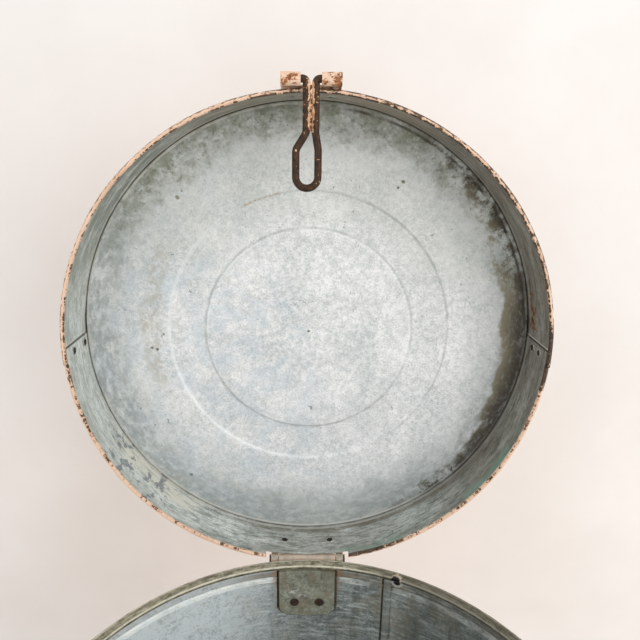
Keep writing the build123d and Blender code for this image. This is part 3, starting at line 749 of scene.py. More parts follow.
# A painted highlight along the inner side of the curl.
curl_highlight = times(
    band(height, 317.7 * MM, 0.35 * MM, 0.5 * MM), ease(radius, 146.8 * MM, 146.0 * MM),
)
coat((232, 228, 206), curl_highlight, ease(rubs, 0.3, 0.5, 0.4, 0.95))
coat((48, 42, 34), mottle["Specks"], 0.7)
# Painted shade on the right part of the curl, which faces away from the lamp.
coat((62, 56, 44), side(10, 0.30, 0.62, 0.0, 0.62))
# The same small hole on the curl: scraped pale edges round a dark inside painted as shade.
tatters = cloud(place, 520.0, 3.0, 0.7)
away = plus(vector("DISTANCE", place, (60.4 * MM, 132.4 * MM, 317.6 * MM)), times(tatters, 5 * MM))
coat((214, 196, 174), ease(away, 6.3 * MM, 5.4 * MM, 0.0, 0.6))
away = plus(vector("DISTANCE", place, (59.4 * MM, 132.6 * MM, 316.2 * MM)), times(rubs, 3 * MM))
coat((24, 19, 15), ease(away, 5.0 * MM, 4.4 * MM))
close_finish(plus(mottle["Height"], rubs), 0.06 * MM, 0.7)

# %% [markdown]
# ## Peach paint
# One coat of oil paint, brushed on by hand: a little uneven in colour, dirty where it is thin,
# and chipped down to dark iron. The function makes it for each place that wears differently. The
# wear is a share from 0 to 1, worked out by the caller from where edges and hands are.


# %% Paint recipe
def finish_paint(wear, chip_size, bare_dark=(46, 33, 25), bare_pale=(92, 68, 48),
                 chip_place=None, grime=0.0):
    """Peach paint over bare iron; wear and grime may be numbers or sockets."""
    chip_place = chip_place or bench.place
    chips = use_group("paint_chips", Place=chip_place, Size=chip_size, Amount=wear)
    brush = cloud(stretch(bench.place, (45, 45, 900)), 1.0, 3.0, 0.5)
    lay_grain(brush, (231, 196, 168), (240, 208, 182))
    smudge = cloud(bench.place, 24.0, 6.0, 0.68)
    coat((206, 162, 128), ease(smudge, 0.48, 0.72, 0.0, 0.45))
    coat((142, 108, 80), grime, ease(smudge, 0.34, 0.60, 0.35, 1.0))
    coat((186, 128, 86), chips["Thin"], 0.45)
    tone = cloud(chip_place, chip_size, 3.0, 0.6)
    bare = blend(ease(tone, 0.35, 0.7), colour(*bare_dark), colour(*bare_pale))
    coat(bare, chips["Chips"])
    relief = plus(chips["Height"], times(brush, 0.3))
    close_finish(relief, 0.09 * MM, 0.8, ease(chips["Chips"], 0.0, 1.0, 0.48, 0.7))


print("paint recipe is ready")

# %% [markdown]
# ## Paint on the lid's hem
# Seen from the front, the hem is the only painted line, so it decides how worn the tin looks.
# It is half bare along its upper right, moderately chipped at the left and nearly whole below.

# %% Lid hem
hem_paint, place = start_material("lid_hem_paint", on_lid=True)
radius = from_axis(place)
hem_wear = plus(
    side(-45, 0.35, 0.95, 0.0, 0.20), ease(radius, 154.9 * MM, 156.2 * MM, 0.0, 0.26),
    ease(radius, 154.6 * MM, 154.0 * MM, 0.0, 0.20), side(250, 0.55, 0.98, 0.0, 0.08),
    side(176, 0.90, 0.99, 0.0, 0.08), side(2, 0.985, 0.998, 0.0, 0.35),
    side(82, 0.93, 0.99, 0.0, 0.32), 0.235,
)
dashes = wrap(place, 40.0, 760.0, 760.0)
finish_paint(hem_wear, 1.0, (36, 27, 20), (104, 82, 62), dashes)

# %% [markdown]
# ## Paint on the outside of the lid and the body
# Broad faces keep their paint, apart from knocks. Near hems, seams and beads it is gone.

# %% Lid outside
lid_paint, place = start_material("lid_paint", on_lid=True)
along_axis = parts(place)[2]
radius = from_axis(place)
top_edge = ease(along_axis, 25 * MM, 31 * MM)
rim_edge = ease(along_axis, -6 * MM, -11.5 * MM)
outer_part = ease(radius, 147 * MM, 152 * MM)
ring_edges = most(*[band(radius, ring, 0.6 * MM, 1.2 * MM) for ring in RING_RADII])
knocks = ease(cloud(place, 14.0, 4.0, 0.6), 0.50, 0.66, 0.0, 0.24)
lid_wear = plus(
    times(most(top_edge, rim_edge), outer_part, 0.3), times(ring_edges, 0.16), knocks,
    0.16,
)
groove = times(band(radius, 151.6 * MM, 0.6 * MM, 2.4 * MM), top_edge)
lid_grime = plus(times(groove, 0.6), times(ring_edges, 0.3))
finish_paint(lid_wear, 170.0, grime=lid_grime)

# %% [markdown]
# The body wears on its bead, under the rim and at its foot, where it was dragged over shelves.

# %% Body outside
body_paint, place = start_material("body_paint")
height = parts(place)[2]
bead_wear = band(height, BEAD_HEIGHT, 1 * MM, 3 * MM)
rim_wear = ease(height, 312 * MM, 319 * MM)
foot_wear = ease(height, 26 * MM, 4 * MM)
edges = most(most(bead_wear, rim_wear), foot_wear)
knocks = ease(cloud(place, 13.0, 4.0, 0.6), 0.50, 0.66, 0.0, 0.26)
below_bead = band(height, BEAD_HEIGHT - 4 * MM, 1 * MM, 4 * MM)
body_grime = plus(times(below_bead, 0.5), ease(height, 60 * MM, 4 * MM, 0.0, 0.55))
finish_paint(plus(times(edges, 0.3), knocks, 0.16), 150.0, grime=body_grime)

# %% [markdown]
# ## Paint on the fittings
# Clips and plates are thicker strap that gets knocked. What shows through their paint is rust
# brown on the rolled parts.

# %% Fittings
fitting_paint, place = start_material("fitting_paint")
across, depth, height = parts(place)
calmer = ease(height, 300 * MM, 330 * MM, -0.20, 0.0)
right_more = ease(across, -12 * MM, 12 * MM, -0.05, 0.12)
on_lid_only = times(right_more, ease(height, 300 * MM, 330 * MM))
fitting_wear = plus(ease(cloud(place, 60.0, 3.0), 0.3, 0.7, 0.26, 0.52), on_lid_only, calmer)
finish_paint(fitting_wear, 260.0, (46, 29, 20), (176, 112, 66))

# %% [markdown]
# The leaf that the hinge carries the lid by lost its paint long ago. It is pale olive zinc with a
# pinkish bloom of old paint left on its roll.

# %% Hinge leaf
leaf_zinc, place = start_material("hinge_leaf_zinc", metallic=0.1, roughness=0.6)
mottle = lay_zinc(620.0, 80.0, (154, 148, 130), (218, 210, 192))
bloom = cloud(place, 240.0, 4.0, 0.65)
coat((206, 178, 162), ease(bloom, 0.52, 0.64, 0.0, 0.55))
coat((58, 48, 38), mottle["Specks"], 0.7)
close_finish(mottle["Height"], 0.07 * MM, 0.7)

# %% [markdown]
# ## Dark iron wire
# Hasp, staple, bails and pin are plain wire, dark brown and a little greasy from fingers. Flecks
# of the old peach paint cling to it, most of all in the narrow gap between the hasp's legs.

# %% Wire
wire_iron, place = start_material("wire_iron", roughness=0.42, metallic=0.35)
grain = cloud(place, 420.0, 4.0, 0.6)
lay_grain(grain, (40, 28, 20), (88, 64, 46))
flecks = use_group("paint_chips", Place=place, Size=420.0, Amount=0.30)
coat((228, 188, 150), flecks["Chips"])
close_finish(plus(grain, flecks["Chips"]), 0.12 * MM, 0.8, ease(grain, 0.3, 0.7, 0.4, 0.6))

# %% [markdown]
# The hasp is browner than the other wire, and the brush left more paint on its legs than on its
# eye, so how many flecks there are depends on the height and on the distance from the gap.

# %% Hasp wire
HASP_NECK_LOW = 603 * MM

hasp_iron, place = start_material("hasp_iron")
bench.shader.inputs["Specular IOR Level"].default_value = 0.28
across, depth, height = parts(place)
grain = cloud(place, 420.0, 4.0, 0.6)
lay_grain(grain, (38, 25, 17), (82, 56, 38))
neck = ease(height, HASP_NECK_LOW - 4 * MM, HASP_NECK_LOW + 3 * MM)
between_legs = times(band(across, 0.0, 0.9 * MM, 1.6 * MM), neck)
left_leg = times(ease(across, 0.5 * MM, -2 * MM), neck)
amount = plus(times(between_legs, 0.42), times(left_leg, 0.09), 0.28)
flecks = use_group("paint_chips", Place=stretch(place, (1, 1, 0.6)), Size=420.0, Amount=amount)
fleck_tone = blend(ease(grain, 0.35, 0.65), colour(186, 130, 84), colour(238, 202, 162))
coat(fleck_tone, flecks["Chips"])
close_finish(plus(grain, flecks["Chips"]), 0.14 * MM, 0.9, ease(grain, 0.3, 0.7, 0.46, 0.64))

# %% [markdown]
# When the tin was painted the brush filled the narrow gap between the hasp's legs. That thick
# bead of paint has kept better than the rest, so it has a finish of its own.

# %% Paint in the hasp's gap
gap_paint, place = start_material("hasp_gap_paint")
bench.place = stretch(place, (1, 1, 0.5))
finish_paint(0.56, 520.0, (52, 34, 23), (128, 86, 54))

# %% [markdown]
# ## Rivets
# A rivet's tail was hammered flat inside the tin. Its dished middle is nearly black, and the burr
# round it is scraped pale, so the tail has two finishes. Its round head outside is painted over.

# %% Rivet finishes
def finish_rivet(name, size, dark, pale, depth, strength, **start):
    """A grainy metal for a rivet: the material."""
    made, place = start_material(name, **start)
    grain = cloud(place, size, 3.0, 0.6)
    lay_grain(grain, dark, pale)
    close_finish(grain, depth, strength)
    return made


rivet_dark = finish_rivet(
    "rivet_dark", 700.0, (16, 14, 12), (52, 44, 36), 0.1 * MM, 0.8, roughness=0.55, metallic=0.3)
rivet_burr = finish_rivet(
    "rivet_burr", 700.0, (122, 122, 112), (206, 208, 200), 0.06 * MM, 0.8,
    roughness=0.45, metallic=0.5)
rivet_rusty = finish_rivet(
    "rivet_rusty", 520.0, (32, 23, 16), (70, 52, 36), 0.2 * MM, 0.9, roughness=0.75)
head_paint, place = start_material("rivet_head_paint")
finish_paint(0.42, 300.0)

# %% [markdown]
# ## Hinge plate
# The plate inside the wall is thicker zinc-dipped strap. It is olive with grease, with bright
# scratches between its rivets, painted shadow round the rivets and rust along its upright edges.

# %% Hinge plate
plate_zinc, place = start_material("hinge_plate_zinc", metallic=0.15, roughness=0.55)
across, depth, height = parts(place)
mottle = lay_zinc(560.0, 60.0, (102, 105, 90), (180, 183, 166))
hazes = cloud(stretch(place, (90, 90, 60)), 1.0, 4.0, 0.65)
coat((142, 128, 104), ease(hazes, 0.50, 0.62, 0.0, 0.5))
scores = cloud(stretch(place, (170, 170, 460)), 1.0, 3.0, 0.6, 1.2)
scored = times(
    ease(scores, 0.55, 0.61), band(height, 294 * MM, 3.5 * MM, 3 * MM),
    band(across, -6 * MM, 8 * MM, 5 * MM),
)
coat((216, 218, 210), scored, 0.85)
barrel = ease(depth, 152 * MM, 154 * MM)
coat((222, 202, 184), barrel, ease(hazes, 0.3, 0.6, 0.4, 0.85))
inside_part = ease(depth, 153 * MM, 151 * MM)
edge = times(
    ease(maths("ABSOLUTE", across), PLATE_HALF - 0.9 * MM, PLATE_HALF - 0.3 * MM), inside_part,
)
coat((40, 32, 24), edge, 0.85)
# Dark halos round the rivets, painted shadow of the hollows round them.
for rivet_place in PLATE_RIVETS:
    away = plus(vector("DISTANCE", place, rivet_place), times(hazes, 3 * MM))
    coat((48, 35, 26), ease(away, 5.6 * MM, 4.6 * MM, 0.0, 0.7))
close_finish(plus(mottle["Height"], scored), 0.08 * MM, 0.7)

# %% [markdown]
# ## Bottom sheet
# One sheet has three faces to show: zinc inside, bare and rusting underneath, and painted round
# the foot. Its height and radius tell the three apart.

# %% Bottom sheet
bottom_sheet, place = start_material("bottom_sheet", metallic=0.15)
height = parts(place)[2]
radius = from_axis(place)
mottle = use_group("zinc_mottle", Place=place, Crystal=560.0, Cloud=48.0)
inside = blend(mottle["Mottle"], colour(104, 108, 102), colour(180, 186, 183))
grime = times(ease(radius, 110 * MM, 148 * MM), 0.7)
inside = blend(grime, inside, colour(74, 68, 54))
rust = use_group("rust_bloom", Place=place, Size=70.0, Amount=0.5)
under = blend(mottle["Mottle"], colour(78, 74, 66), colour(132, 130, 122))
under = blend(rust["Mask"], under, rust["Colour"])
bench.skin = blend(ease(height, 6.2 * MM, 6.4 * MM), under, inside)
chips = use_group("paint_chips", Place=place, Size=150.0, Amount=0.46)
foot = blend(chips["Chips"], colour(232, 200, 172), colour(58, 42, 32))
coat(foot, ease(radius, 150.6 * MM, 150.9 * MM))
close_finish(mottle["Height"], 0.06 * MM, 0.6)

# %% [markdown]
# ## Spinning sheet metal
# Every sheet of this tin is round, so each is one section spun about the axis, as a metal spinner
# would do it. The section is the middle of the sheet, a Solidify modifier gives it its 0.6 mm,
# and the new shell takes the next material, so one piece has paint outside and zinc inside.

# %% Section helpers
SHEET = 0.6 * MM
HALF_SHEET = SHEET / 2
STEPS = 256


def arc_points(centre, radius, start, turn, count):
    """Points on an arc of a section, angles in degrees."""
    angles = [math.radians(start + turn * index / count) for index in range(count + 1)]
    return [(centre[0] + radius * math.cos(a), centre[1] + radius * math.sin(a)) for a in angles]


def level_points(radius, low, high, count):
    """Points up a straight wall."""
    return [(radius, low + (high - low) * index / count) for index in range(count + 1)]


def spin_section(mesh, section, start=0.0, arc=360.0, steps=STEPS):
    """Spin an open section, given as (radius, height) points, about the axis; angles in degrees."""
    corners = [mesh.verts.new((radius, 0, height)) for radius, height in section]
    lines = [mesh.edges.new(pair) for pair in zip(corners, corners[1:])]
    bmesh.ops.rotate(mesh, verts=corners, matrix=Matrix.Rotation(math.radians(start), 3, "Z"))
    count = max(2, round(steps * arc / 360))
    bmesh.ops.spin(mesh, geom=corners + lines, axis=(0, 0, 1), cent=(0, 0, 0),
                   angle=math.radians(arc), steps=count, use_merge=arc >= 360)


def extrude_outline(mesh, outline, way):
    """Grow a closed outline of corner points along a vector."""
    foot = mesh.faces.new([mesh.verts.new(corner) for corner in outline])
    grown = bmesh.ops.extrude_face_region(mesh, geom=[foot])
    top = [item for item in grown["geom"] if isinstance(item, bmesh.types.BMVert)]
    bmesh.ops.translate(mesh, verts=top, vec=way)
    return mesh


def cut_across(mesh, place, way):
    """Cut the whole mesh along a plane, so that faces end there."""
    bmesh.ops.bisect_plane(mesh, geom=mesh.verts[:] + mesh.edges[:] + mesh.faces[:],
                           plane_co=place, plane_no=way)


def waves(place, long, long_share, short, short_share, shift):
    """Long and short waves of an uneven sheet, added up."""
    return (noise.noise(place * long) * long_share
            + noise.noise(place * short + Vector(shift)) * short_share)


def pull_in(vertex, push):
    """Move a point of a round wall towards the axis."""
    share = push / math.hypot(vertex.co.x, vertex.co.y)
    vertex.co.x *= 1 - share
    vertex.co.y *= 1 - share


def face_outwards(mesh, probe):
    """Turn the skin over if the face nearest the probe point looks away from it."""
    bmesh.ops.recalc_face_normals(mesh, faces=mesh.faces)
    nearest = min(mesh.faces, key=lambda face: (face.calc_center_median() - probe).length)
    if nearest.normal.dot(probe - nearest.calc_center_median()) < 0:
        bmesh.ops.reverse_faces(mesh, faces=mesh.faces)


def make_object(name, mesh, materials):
    """A smooth object of a bmesh, standing at the origin."""
    for face in mesh.faces:
        face.smooth = True
    data = bpy.data.meshes.new(name)
    mesh.to_mesh(data)
    mesh.free()
    for material in materials:
        data.materials.append(material)
    made = bpy.data.objects.new(name, data)
    bpy.context.scene.collection.objects.link(made)
    return made


def finish_piece(name, mesh, materials, body, nodes=(), place=None, sheet=True):
    if place is not None:
        bmesh.ops.transform(mesh, matrix=place, verts=mesh.verts)
    piece = make_object(name, mesh, materials)
    if sheet:
        wall = piece.modifiers.new("sheet", "SOLIDIFY")
        wall.thickness = SHEET
        wall.offset = 0
        wall.use_even_offset = True
        wall.material_offset = 1
        wall.material_offset_rim = 1
    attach(piece, body)
    if nodes:
        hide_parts(*nodes)
    print(name, "faces:", len(piece.data.polygons))


# %% [markdown]
# ## Dents
# No old tin is still perfectly round. A dent is a soft hollow: its depth falls off with the
# distance from its middle. All dents go inwards, so the tin never grows, and they keep away from
# the fittings, which would otherwise float.


# %% Dent helper
def dent_wall(mesh, dents, radius_rule):
    """Push a round wall in at (azimuth, height, width, depth); degrees and metres."""
    for vertex in mesh.verts:
        radius = math.hypot(vertex.co.x, vertex.co.y)
        if radius < radius_rule:
            continue
        azimuth = math.atan2(vertex.co.y, vertex.co.x)
        push = 0.0
        for middle, height, width, depth in dents:
            turn = math.remainder(azimuth - math.radians(middle), math.tau)
            away = math.hypot(turn * radius, vertex.co.z - height) / width
            push += depth * math.exp(-2.5 * away ** 2)
        pull_in(vertex, push)


print("dents are ready")

# %% [markdown]
# ## Body wall
# One sheet rolled into a tube. Under the rim runs a bead, pressed outwards to stiffen it, and the
# top edge is curled inwards over a wire. The outer part of the curl is painted with the wall,
# and from its crest inwards it is bare.

# %% Body wall
BODY_RADIUS = 150.9 * MM
BODY_INNER = BODY_RADIUS - SHEET
WALL_MIDDLE = BODY_RADIUS - HALF_SHEET
BEAD_RADIUS = 2.4 * MM
CURL_RADIUS = 3 * MM
CURL_CENTRE = (BODY_RADIUS - CURL_RADIUS, BODY_HEIGHT - CURL_RADIUS)
WALL_FOOT = 0.66 * MM

section = level_points(WALL_MIDDLE, WALL_FOOT, BEAD_HEIGHT - BEAD_RADIUS - 0.4 * MM, 44)
section += arc_points((WALL_MIDDLE, BEAD_HEIGHT), BEAD_RADIUS, -90, 180, 10)
above_bead = BEAD_HEIGHT + BEAD_RADIUS + 0.4 * MM
section += level_points(WALL_MIDDLE, above_bead, CURL_CENTRE[1] - 1 * MM, 3)
section += arc_points(CURL_CENTRE, CURL_RADIUS - HALF_SHEET, 0, 290, 20)
mesh = bmesh.new()
spin_section(mesh, section)
face_outwards(mesh, Vector((2 * BODY_RADIUS, 0, BODY_HEIGHT / 2)))
BODY_DENTS = [
    (20, 92 * MM, 30 * MM, 1.1 * MM),
    (232, 128 * MM, 34 * MM, 1.3 * MM),
    (312, 62 * MM, 26 * MM, 0.9 * MM),
    (150, 74 * MM, 38 * MM, 1.2 * MM),
    (118, 190 * MM, 30 * MM, 0.8 * MM),
    (40, 236 * MM, 24 * MM, 0.6 * MM),
]
dent_wall(mesh, BODY_DENTS, WALL_MIDDLE - 0.1 * MM)
for face in mesh.faces:
    centre = face.calc_center_median()
    inner_curl = math.hypot(centre.x, centre.y) < CURL_CENTRE[0] + 1.2 * MM
    face.material_index = 2 if inner_curl else 0
finish_piece("body_wall_sheet", mesh, [body_paint, wall_zinc, curl_zinc, curl_zinc],
             "tin_body", ["body_wall"])

# %% [markdown]
# ## Lock seam
# The two edges of the wall are hooked into each other and hammered flat. Inside, this stands up
# as a narrow strip with rounded shoulders. It is extruded from its cross-section.

# %% Lock seam
SEAM_WIDTH = 5.4 * MM
SEAM_LOW = 7.3 * MM
SEAM_TOP = 311 * MM

half = SEAM_WIDTH / 2
outline = [(-half, -0.2), (-half, 0.55), (-half + 0.35 * MM, 1.0), (-half + 1.0 * MM, 1.2),
           (half - 1.2 * MM, 1.2), (half - 0.5 * MM, 1.0), (half, 0.5), (half, -0.2)]
corners = [(BODY_INNER - lift * MM, aside, SEAM_LOW) for aside, lift in outline]
mesh = extrude_outline(bmesh.new(), corners, (0, 0, SEAM_TOP - SEAM_LOW))
bmesh.ops.recalc_face_normals(mesh, faces=mesh.faces)
bmesh.ops.rotate(mesh, verts=mesh.verts, matrix=Matrix.Rotation(math.radians(SEAM_AZIMUTH), 3, "Z"))
finish_piece("lock_seam_fold", mesh, [wall_zinc], "tin_body", sheet=False)

# %% [markdown]
# ## Lid panel
# The panel is crowned, with a shallow raised ring pressed into it, set down between the side
# strips and hooked over their upper edge. Slight waves in the sheet keep its shine from looking
# machined.

# %% Lid panel
PANEL_HEIGHT = 25.8 * MM
PANEL_CROWN = 6 * MM
RING_STEP = 0.9 * MM
RING_SLOPE = 1.0 * MM
LID_TOP = 30.8 * MM
PAN_MIDDLE = 152.95 * MM
PAN_CORNER = 0.9 * MM
HOOK_MIDDLE = 154.9 * MM
HOOK_TOP = LID_TOP + 0.35 * MM
HOOK_LOW = 26.6 * MM


def panel_line(radius):
    """Height of the panel's middle at a radius."""
    crown = PANEL_CROWN * (1 - (radius / PANEL_EDGE) ** 2)
    inner_step = min(max((radius - RING_RADII[0] + RING_SLOPE) / (2 * RING_SLOPE), 0), 1)
    outer_step = min(max((RING_RADII[1] + RING_SLOPE - radius) / (2 * RING_SLOPE), 0), 1)
    share = min(inner_step, outer_step)
    return PANEL_HEIGHT + HALF_SHEET + crown + RING_STEP * share * share * (3 - 2 * share)


plain_radii = [index * PANEL_EDGE / 44 for index in range(45)]
STEP_OFFSETS = (-1.0, -0.65, -0.3, 0, 0.3, 0.65, 1.0)
step_radii = [ring + offset * MM for ring in RING_RADII for offset in STEP_OFFSETS]
clear_radii = [radius for radius in plain_radii
               if all(abs(radius - ring) > 1.6 * MM for ring in RING_RADII)]
radii = sorted(clear_radii + step_radii)
section = [(radius, panel_line(radius)) for radius in radii]
pan_centre = (PAN_MIDDLE - PAN_CORNER, PANEL_HEIGHT + HALF_SHEET + PAN_CORNER)
section += arc_points(pan_centre, PAN_CORNER, -90, 90, 6)[1:]
section += [(PAN_MIDDLE, HOOK_TOP - 0.5 * MM), (PAN_MIDDLE + 0.2 * MM, HOOK_TOP - 0.15 * MM)]
section += [(PAN_MIDDLE + 0.6 * MM, HOOK_TOP), (HOOK_MIDDLE - 0.6 * MM, HOOK_TOP)]
section += [(HOOK_MIDDLE - 0.15 * MM, HOOK_TOP - 0.15 * MM),
            (HOOK_MIDDLE, HOOK_TOP - 0.6 * MM), (HOOK_MIDDLE, HOOK_LOW)]
mesh = bmesh.new()
spin_section(mesh, section)
bmesh.ops.remove_doubles(mesh, verts=mesh.verts, dist=0.01 * MM)
face_outwards(mesh, Vector((0.05, 0, 1.0)))
for vertex in mesh.verts:
    radius = math.hypot(vertex.co.x, vertex.co.y)
    room = max(0.0, 1 - (radius / (140 * MM)) ** 4)
    wave = waves(vertex.co, 16, 0.55, 38, 0.25, (3, 1, 7))
    vertex.co.z -= (0.5 + wave) * 0.9 * MM * room
finish_piece("lid_panel_sheet", mesh, [lid_paint, lid_zinc],
             "lid", ["lid_panel"], lid_place)

# %% [markdown]
# ## Side strips of the lid
# Two strips, each half a turn, lap over each other left and right and are riveted there. Their
# lower edge is curled outwards into a hem, which is what the paint clings to. The rear strip has
# plain ends, tucked inside the front one, and a notch that leaves room for the hinge.

# %% Strip sections
LID_BOTTOM = -12.5 * MM
HEM_RADIUS = 1.3 * MM
FRONT_INNER = 153.95 * MM
PLAIN_ARC = 4.394
NOTCH_HALF = 29 * MM
NOTCH_TOP = -7.2 * MM


def strip_section(inner):
    """Section of a side strip, from its top edge down and round the hem."""
    middle = inner + HALF_SHEET
    centre = (inner + HEM_RADIUS, LID_BOTTOM + HEM_RADIUS)
    wall = level_points(middle, LID_TOP, centre[1] + 0.6 * MM, 14)
    return wall + arc_points(centre, HEM_RADIUS - HALF_SHEET, 180, 300, 18)


def ripple_strip(mesh):
    """The free edge waves in and out a little, less and less towards the panel."""
    for vertex in mesh.verts:
        radius = math.hypot(vertex.co.x, vertex.co.y)
        round_place = Vector((vertex.co.x, vertex.co.y, 0)) / radius
        share = min(max((20 * MM - vertex.co.z) / (30 * MM), 0), 1)
        wave = waves(round_place, 3.1, 0.6, 9, 0.3, (5, 2, 0))
        push = (0.5 + wave) * 0.55 * MM * share
        vertex.co.x -= round_place.x * push
        vertex.co.y -= round_place.y * push


def name_hem(mesh):
    """The hem's faces are painted on both sides."""
    for face in mesh.faces:
        face.material_index = 2 if face.calc_center_median().z < LID_BOTTOM + 2.2 * MM else 0


print("the strips stand", round((LID_TOP - LID_BOTTOM) / MM, 1), "mm tall")


# %% [markdown]
# The rear strip is spun half a turn. At both ends its hem is cut off, where the front strip laps
# over it, and a notch is cut for the hinge.

# %% Rear strip
mesh = bmesh.new()
spin_section(mesh, strip_section(REAR_INNER), 0, 180)
tucked = []
for face in mesh.faces:
    centre = face.calc_center_median()
    from_end = math.degrees(math.asin(centre.y / math.hypot(centre.x, centre.y)))
    if from_end < PLAIN_ARC and centre.z < LID_BOTTOM + HEM_RADIUS * 1.4:
        tucked.append(face)
bmesh.ops.delete(mesh, geom=tucked, context="FACES")
face_outwards(mesh, Vector((0, 2 * REAR_INNER, 20 * MM)))
for flank in (-NOTCH_HALF, NOTCH_HALF):
    cut_across(mesh, (flank, 0, 0), (1, 0, 0))
cut_across(mesh, (0, 0, NOTCH_TOP), (0, 0, 1))
notch = []
for face in mesh.faces:
    centre = face.calc_center_median()
    if abs(centre.x) < NOTCH_HALF and centre.z < NOTCH_TOP:
        notch.append(face)
bmesh.ops.delete(mesh, geom=notch, context="FACES")
ripple_strip(mesh)
name_hem(mesh)
strip_finishes = [lid_paint, strip_zinc, hem_paint, hem_paint]
finish_piece("lid_rear_strip", mesh, strip_finishes,
             "lid", ["lid_rear_band"], lid_place)

# %% [markdown]
# The front strip overlaps the rear one, so it is a sheet thickness wider. Between its laps its
# upper edge is drawn in again, to lie against the panel without a gap.

# %% Front strip
LAP_ARC = 4.094
JOGGLE = 0.6 * MM
mesh = bmesh.new()
spin_section(mesh, strip_section(FRONT_INNER), 180 - LAP_ARC, 180 + 2 * LAP_ARC)
face_outwards(mesh, Vector((0, -2 * FRONT_INNER, 20 * MM)))
for vertex in mesh.verts:
    radius = math.hypot(vertex.co.x, vertex.co.y)
    from_lap = math.degrees(math.asin(-vertex.co.y / radius)) - LAP_ARC
    share = min(max(from_lap / 3, 0), 1) * min(max((vertex.co.z - 22 * MM) / (2.6 * MM), 0), 1)
    pull_in(vertex, share * JOGGLE)
ripple_strip(mesh)
name_hem(mesh)
finish_piece("lid_front_strip", mesh, strip_finishes,
             "lid", ["lid_front_band"], lid_place)

# %% [markdown]
# ## Rivets
# Each rivet is one spun section: a dished tail inside, a shank through the sheets and a domed
# head outside. The list says for each group where its rivets sit on the round wall.

# %% Rivets
SHANK = 2.0 * MM
PLAY = 0.05 * MM


def rivet_section(grip):
    """Section of one rivet: distances from its axis, and outwards from the inner sheet face."""
    top = grip + PLAY
    tail = [(0, -0.3), (1.6, -0.34), (2.2, -0.62), (2.55, -0.72), (2.85, -0.45), (2.9, -0.05)]
    head = [(3.8, 0), (3.7, 0.45), (3.1, 1.0), (2.1, 1.45), (1.0, 1.66), (0, 1.7)]
    return ([(radius * MM, height * MM) for radius, height in tail] + [(SHANK, -PLAY), (SHANK, top)]
            + [(radius * MM, top + height * MM) for radius, height in head])


def add_rivets(name, nodes, body, spots, wall, grip, place=None, tail=(rivet_dark, rivet_burr)):
    """A group of rivets at (azimuth in degrees, height) on the inner face of a wall."""
    mesh = bmesh.new()
    for azimuth, height in spots:
        single = bmesh.new()
        spin_section(single, rivet_section(grip), steps=20)
        bmesh.ops.remove_doubles(single, verts=single.verts, dist=0.01 * MM)
        bmesh.ops.recalc_face_normals(single, faces=single.faces)
        for face in single.faces:
            centre = face.calc_center_median()
            axis_distance = math.hypot(centre.x, centre.y)
            burr = centre.z < 0 and axis_distance >= 2.25 * MM
            face.material_index = 1 if burr else 2 if centre.z > grip else 0
        turn = Matrix.Rotation(math.radians(azimuth), 4, "Z")
        lay = Matrix.Rotation(math.pi / 2, 4, "Y")
        spot = turn @ Matrix.Translation((wall, 0, height)) @ lay
        bmesh.ops.transform(single, matrix=spot, verts=single.verts)
        data = bpy.data.meshes.new("rivet")
        single.to_mesh(data)
        single.free()
        mesh.from_mesh(data)
        bpy.data.meshes.remove(data)
    finish_piece(name, mesh, [*tail, head_paint], body, nodes, place, sheet=False)


def spread(offset, radius):
    """Azimuth in degrees of a point that is so far aside on a round wall."""
    return math.degrees(math.asin(offset / radius))


def pair(middle, offset, radius, heights):
    turn = spread(offset, radius)
    return [(middle + hand * turn, height) for hand in (-1, 1) for height in heights]


STRAP = 1.3 * MM
STAPLE_HEIGHT = 257.6 * MM
BAIL_RIVET_HEIGHT = 233 * MM

leaf_inner = BODY_INNER - PLAY - STRAP
add_rivets("hinge_plate_rivets", ["hinge_body_rivets"], "tin_body",
           pair(90, PLATE_RIVET_ASIDE, leaf_inner, [PLATE_RIVET_HEIGHT]), leaf_inner,
           BODY_RADIUS - leaf_inner, tail=(rivet_rusty, rivet_rusty))
add_rivets("hinge_leaf_rivets", ["hinge_lid_rivets"], "lid",
           pair(90, 16.5 * MM, REAR_INNER, [7.5 * MM]), REAR_INNER, SHEET + PLAY + STRAP, lid_place)
lap_turn = math.degrees(5.5 * MM / REAR_INNER)
lap_spots = [(lap_turn, 1.5 * MM), (lap_turn, 13.5 * MM),
             (180 - lap_turn, 0.5 * MM), (180 - lap_turn, 19.5 * MM)]
add_rivets("lap_rivets", ["lid_lap_rivets"], "lid",
           lap_spots, REAR_INNER, 2 * SHEET + PLAY, lid_place)
add_rivets("clip_rivets", ["hasp_clip_rivets"], "lid",
           pair(270, 12 * MM, FRONT_INNER, [5 * MM]), FRONT_INNER, SHEET + PLAY + STRAP, lid_place)
staple_heights = [STAPLE_HEIGHT - 12 * MM, STAPLE_HEIGHT + 12 * MM]
add_rivets("staple_rivets", ["staple_plate_rivets"], "tin_body",
           pair(270, 15 * MM, BODY_INNER, staple_heights), BODY_INNER, SHEET + PLAY + STRAP)
for hand, middle in (("right", 0), ("left", 180)):
    add_rivets(f"bail_{hand}_rivets", [f"bail_clip_rivets_{hand}"], "tin_body",
               pair(middle, 15 * MM, BODY_INNER, [BAIL_RIVET_HEIGHT]),
               BODY_INNER, SHEET + PLAY + STRAP)

# %% [markdown]
# ## Paint between the hasp's legs
# The bead fills the groove between two round wires, so its cross-section is a rounded wedge. It
# is extruded downwards from the clip to where the legs part, cut into short lengths and pushed
# about a little, because a brush leaves no straight edge.

# %% Paint bead
HASP_DEPTH = 162.9 * MM
BEAD_LOW = 603.5 * MM
BEAD_LONG = 24 * MM
BEAD_CUTS = 16

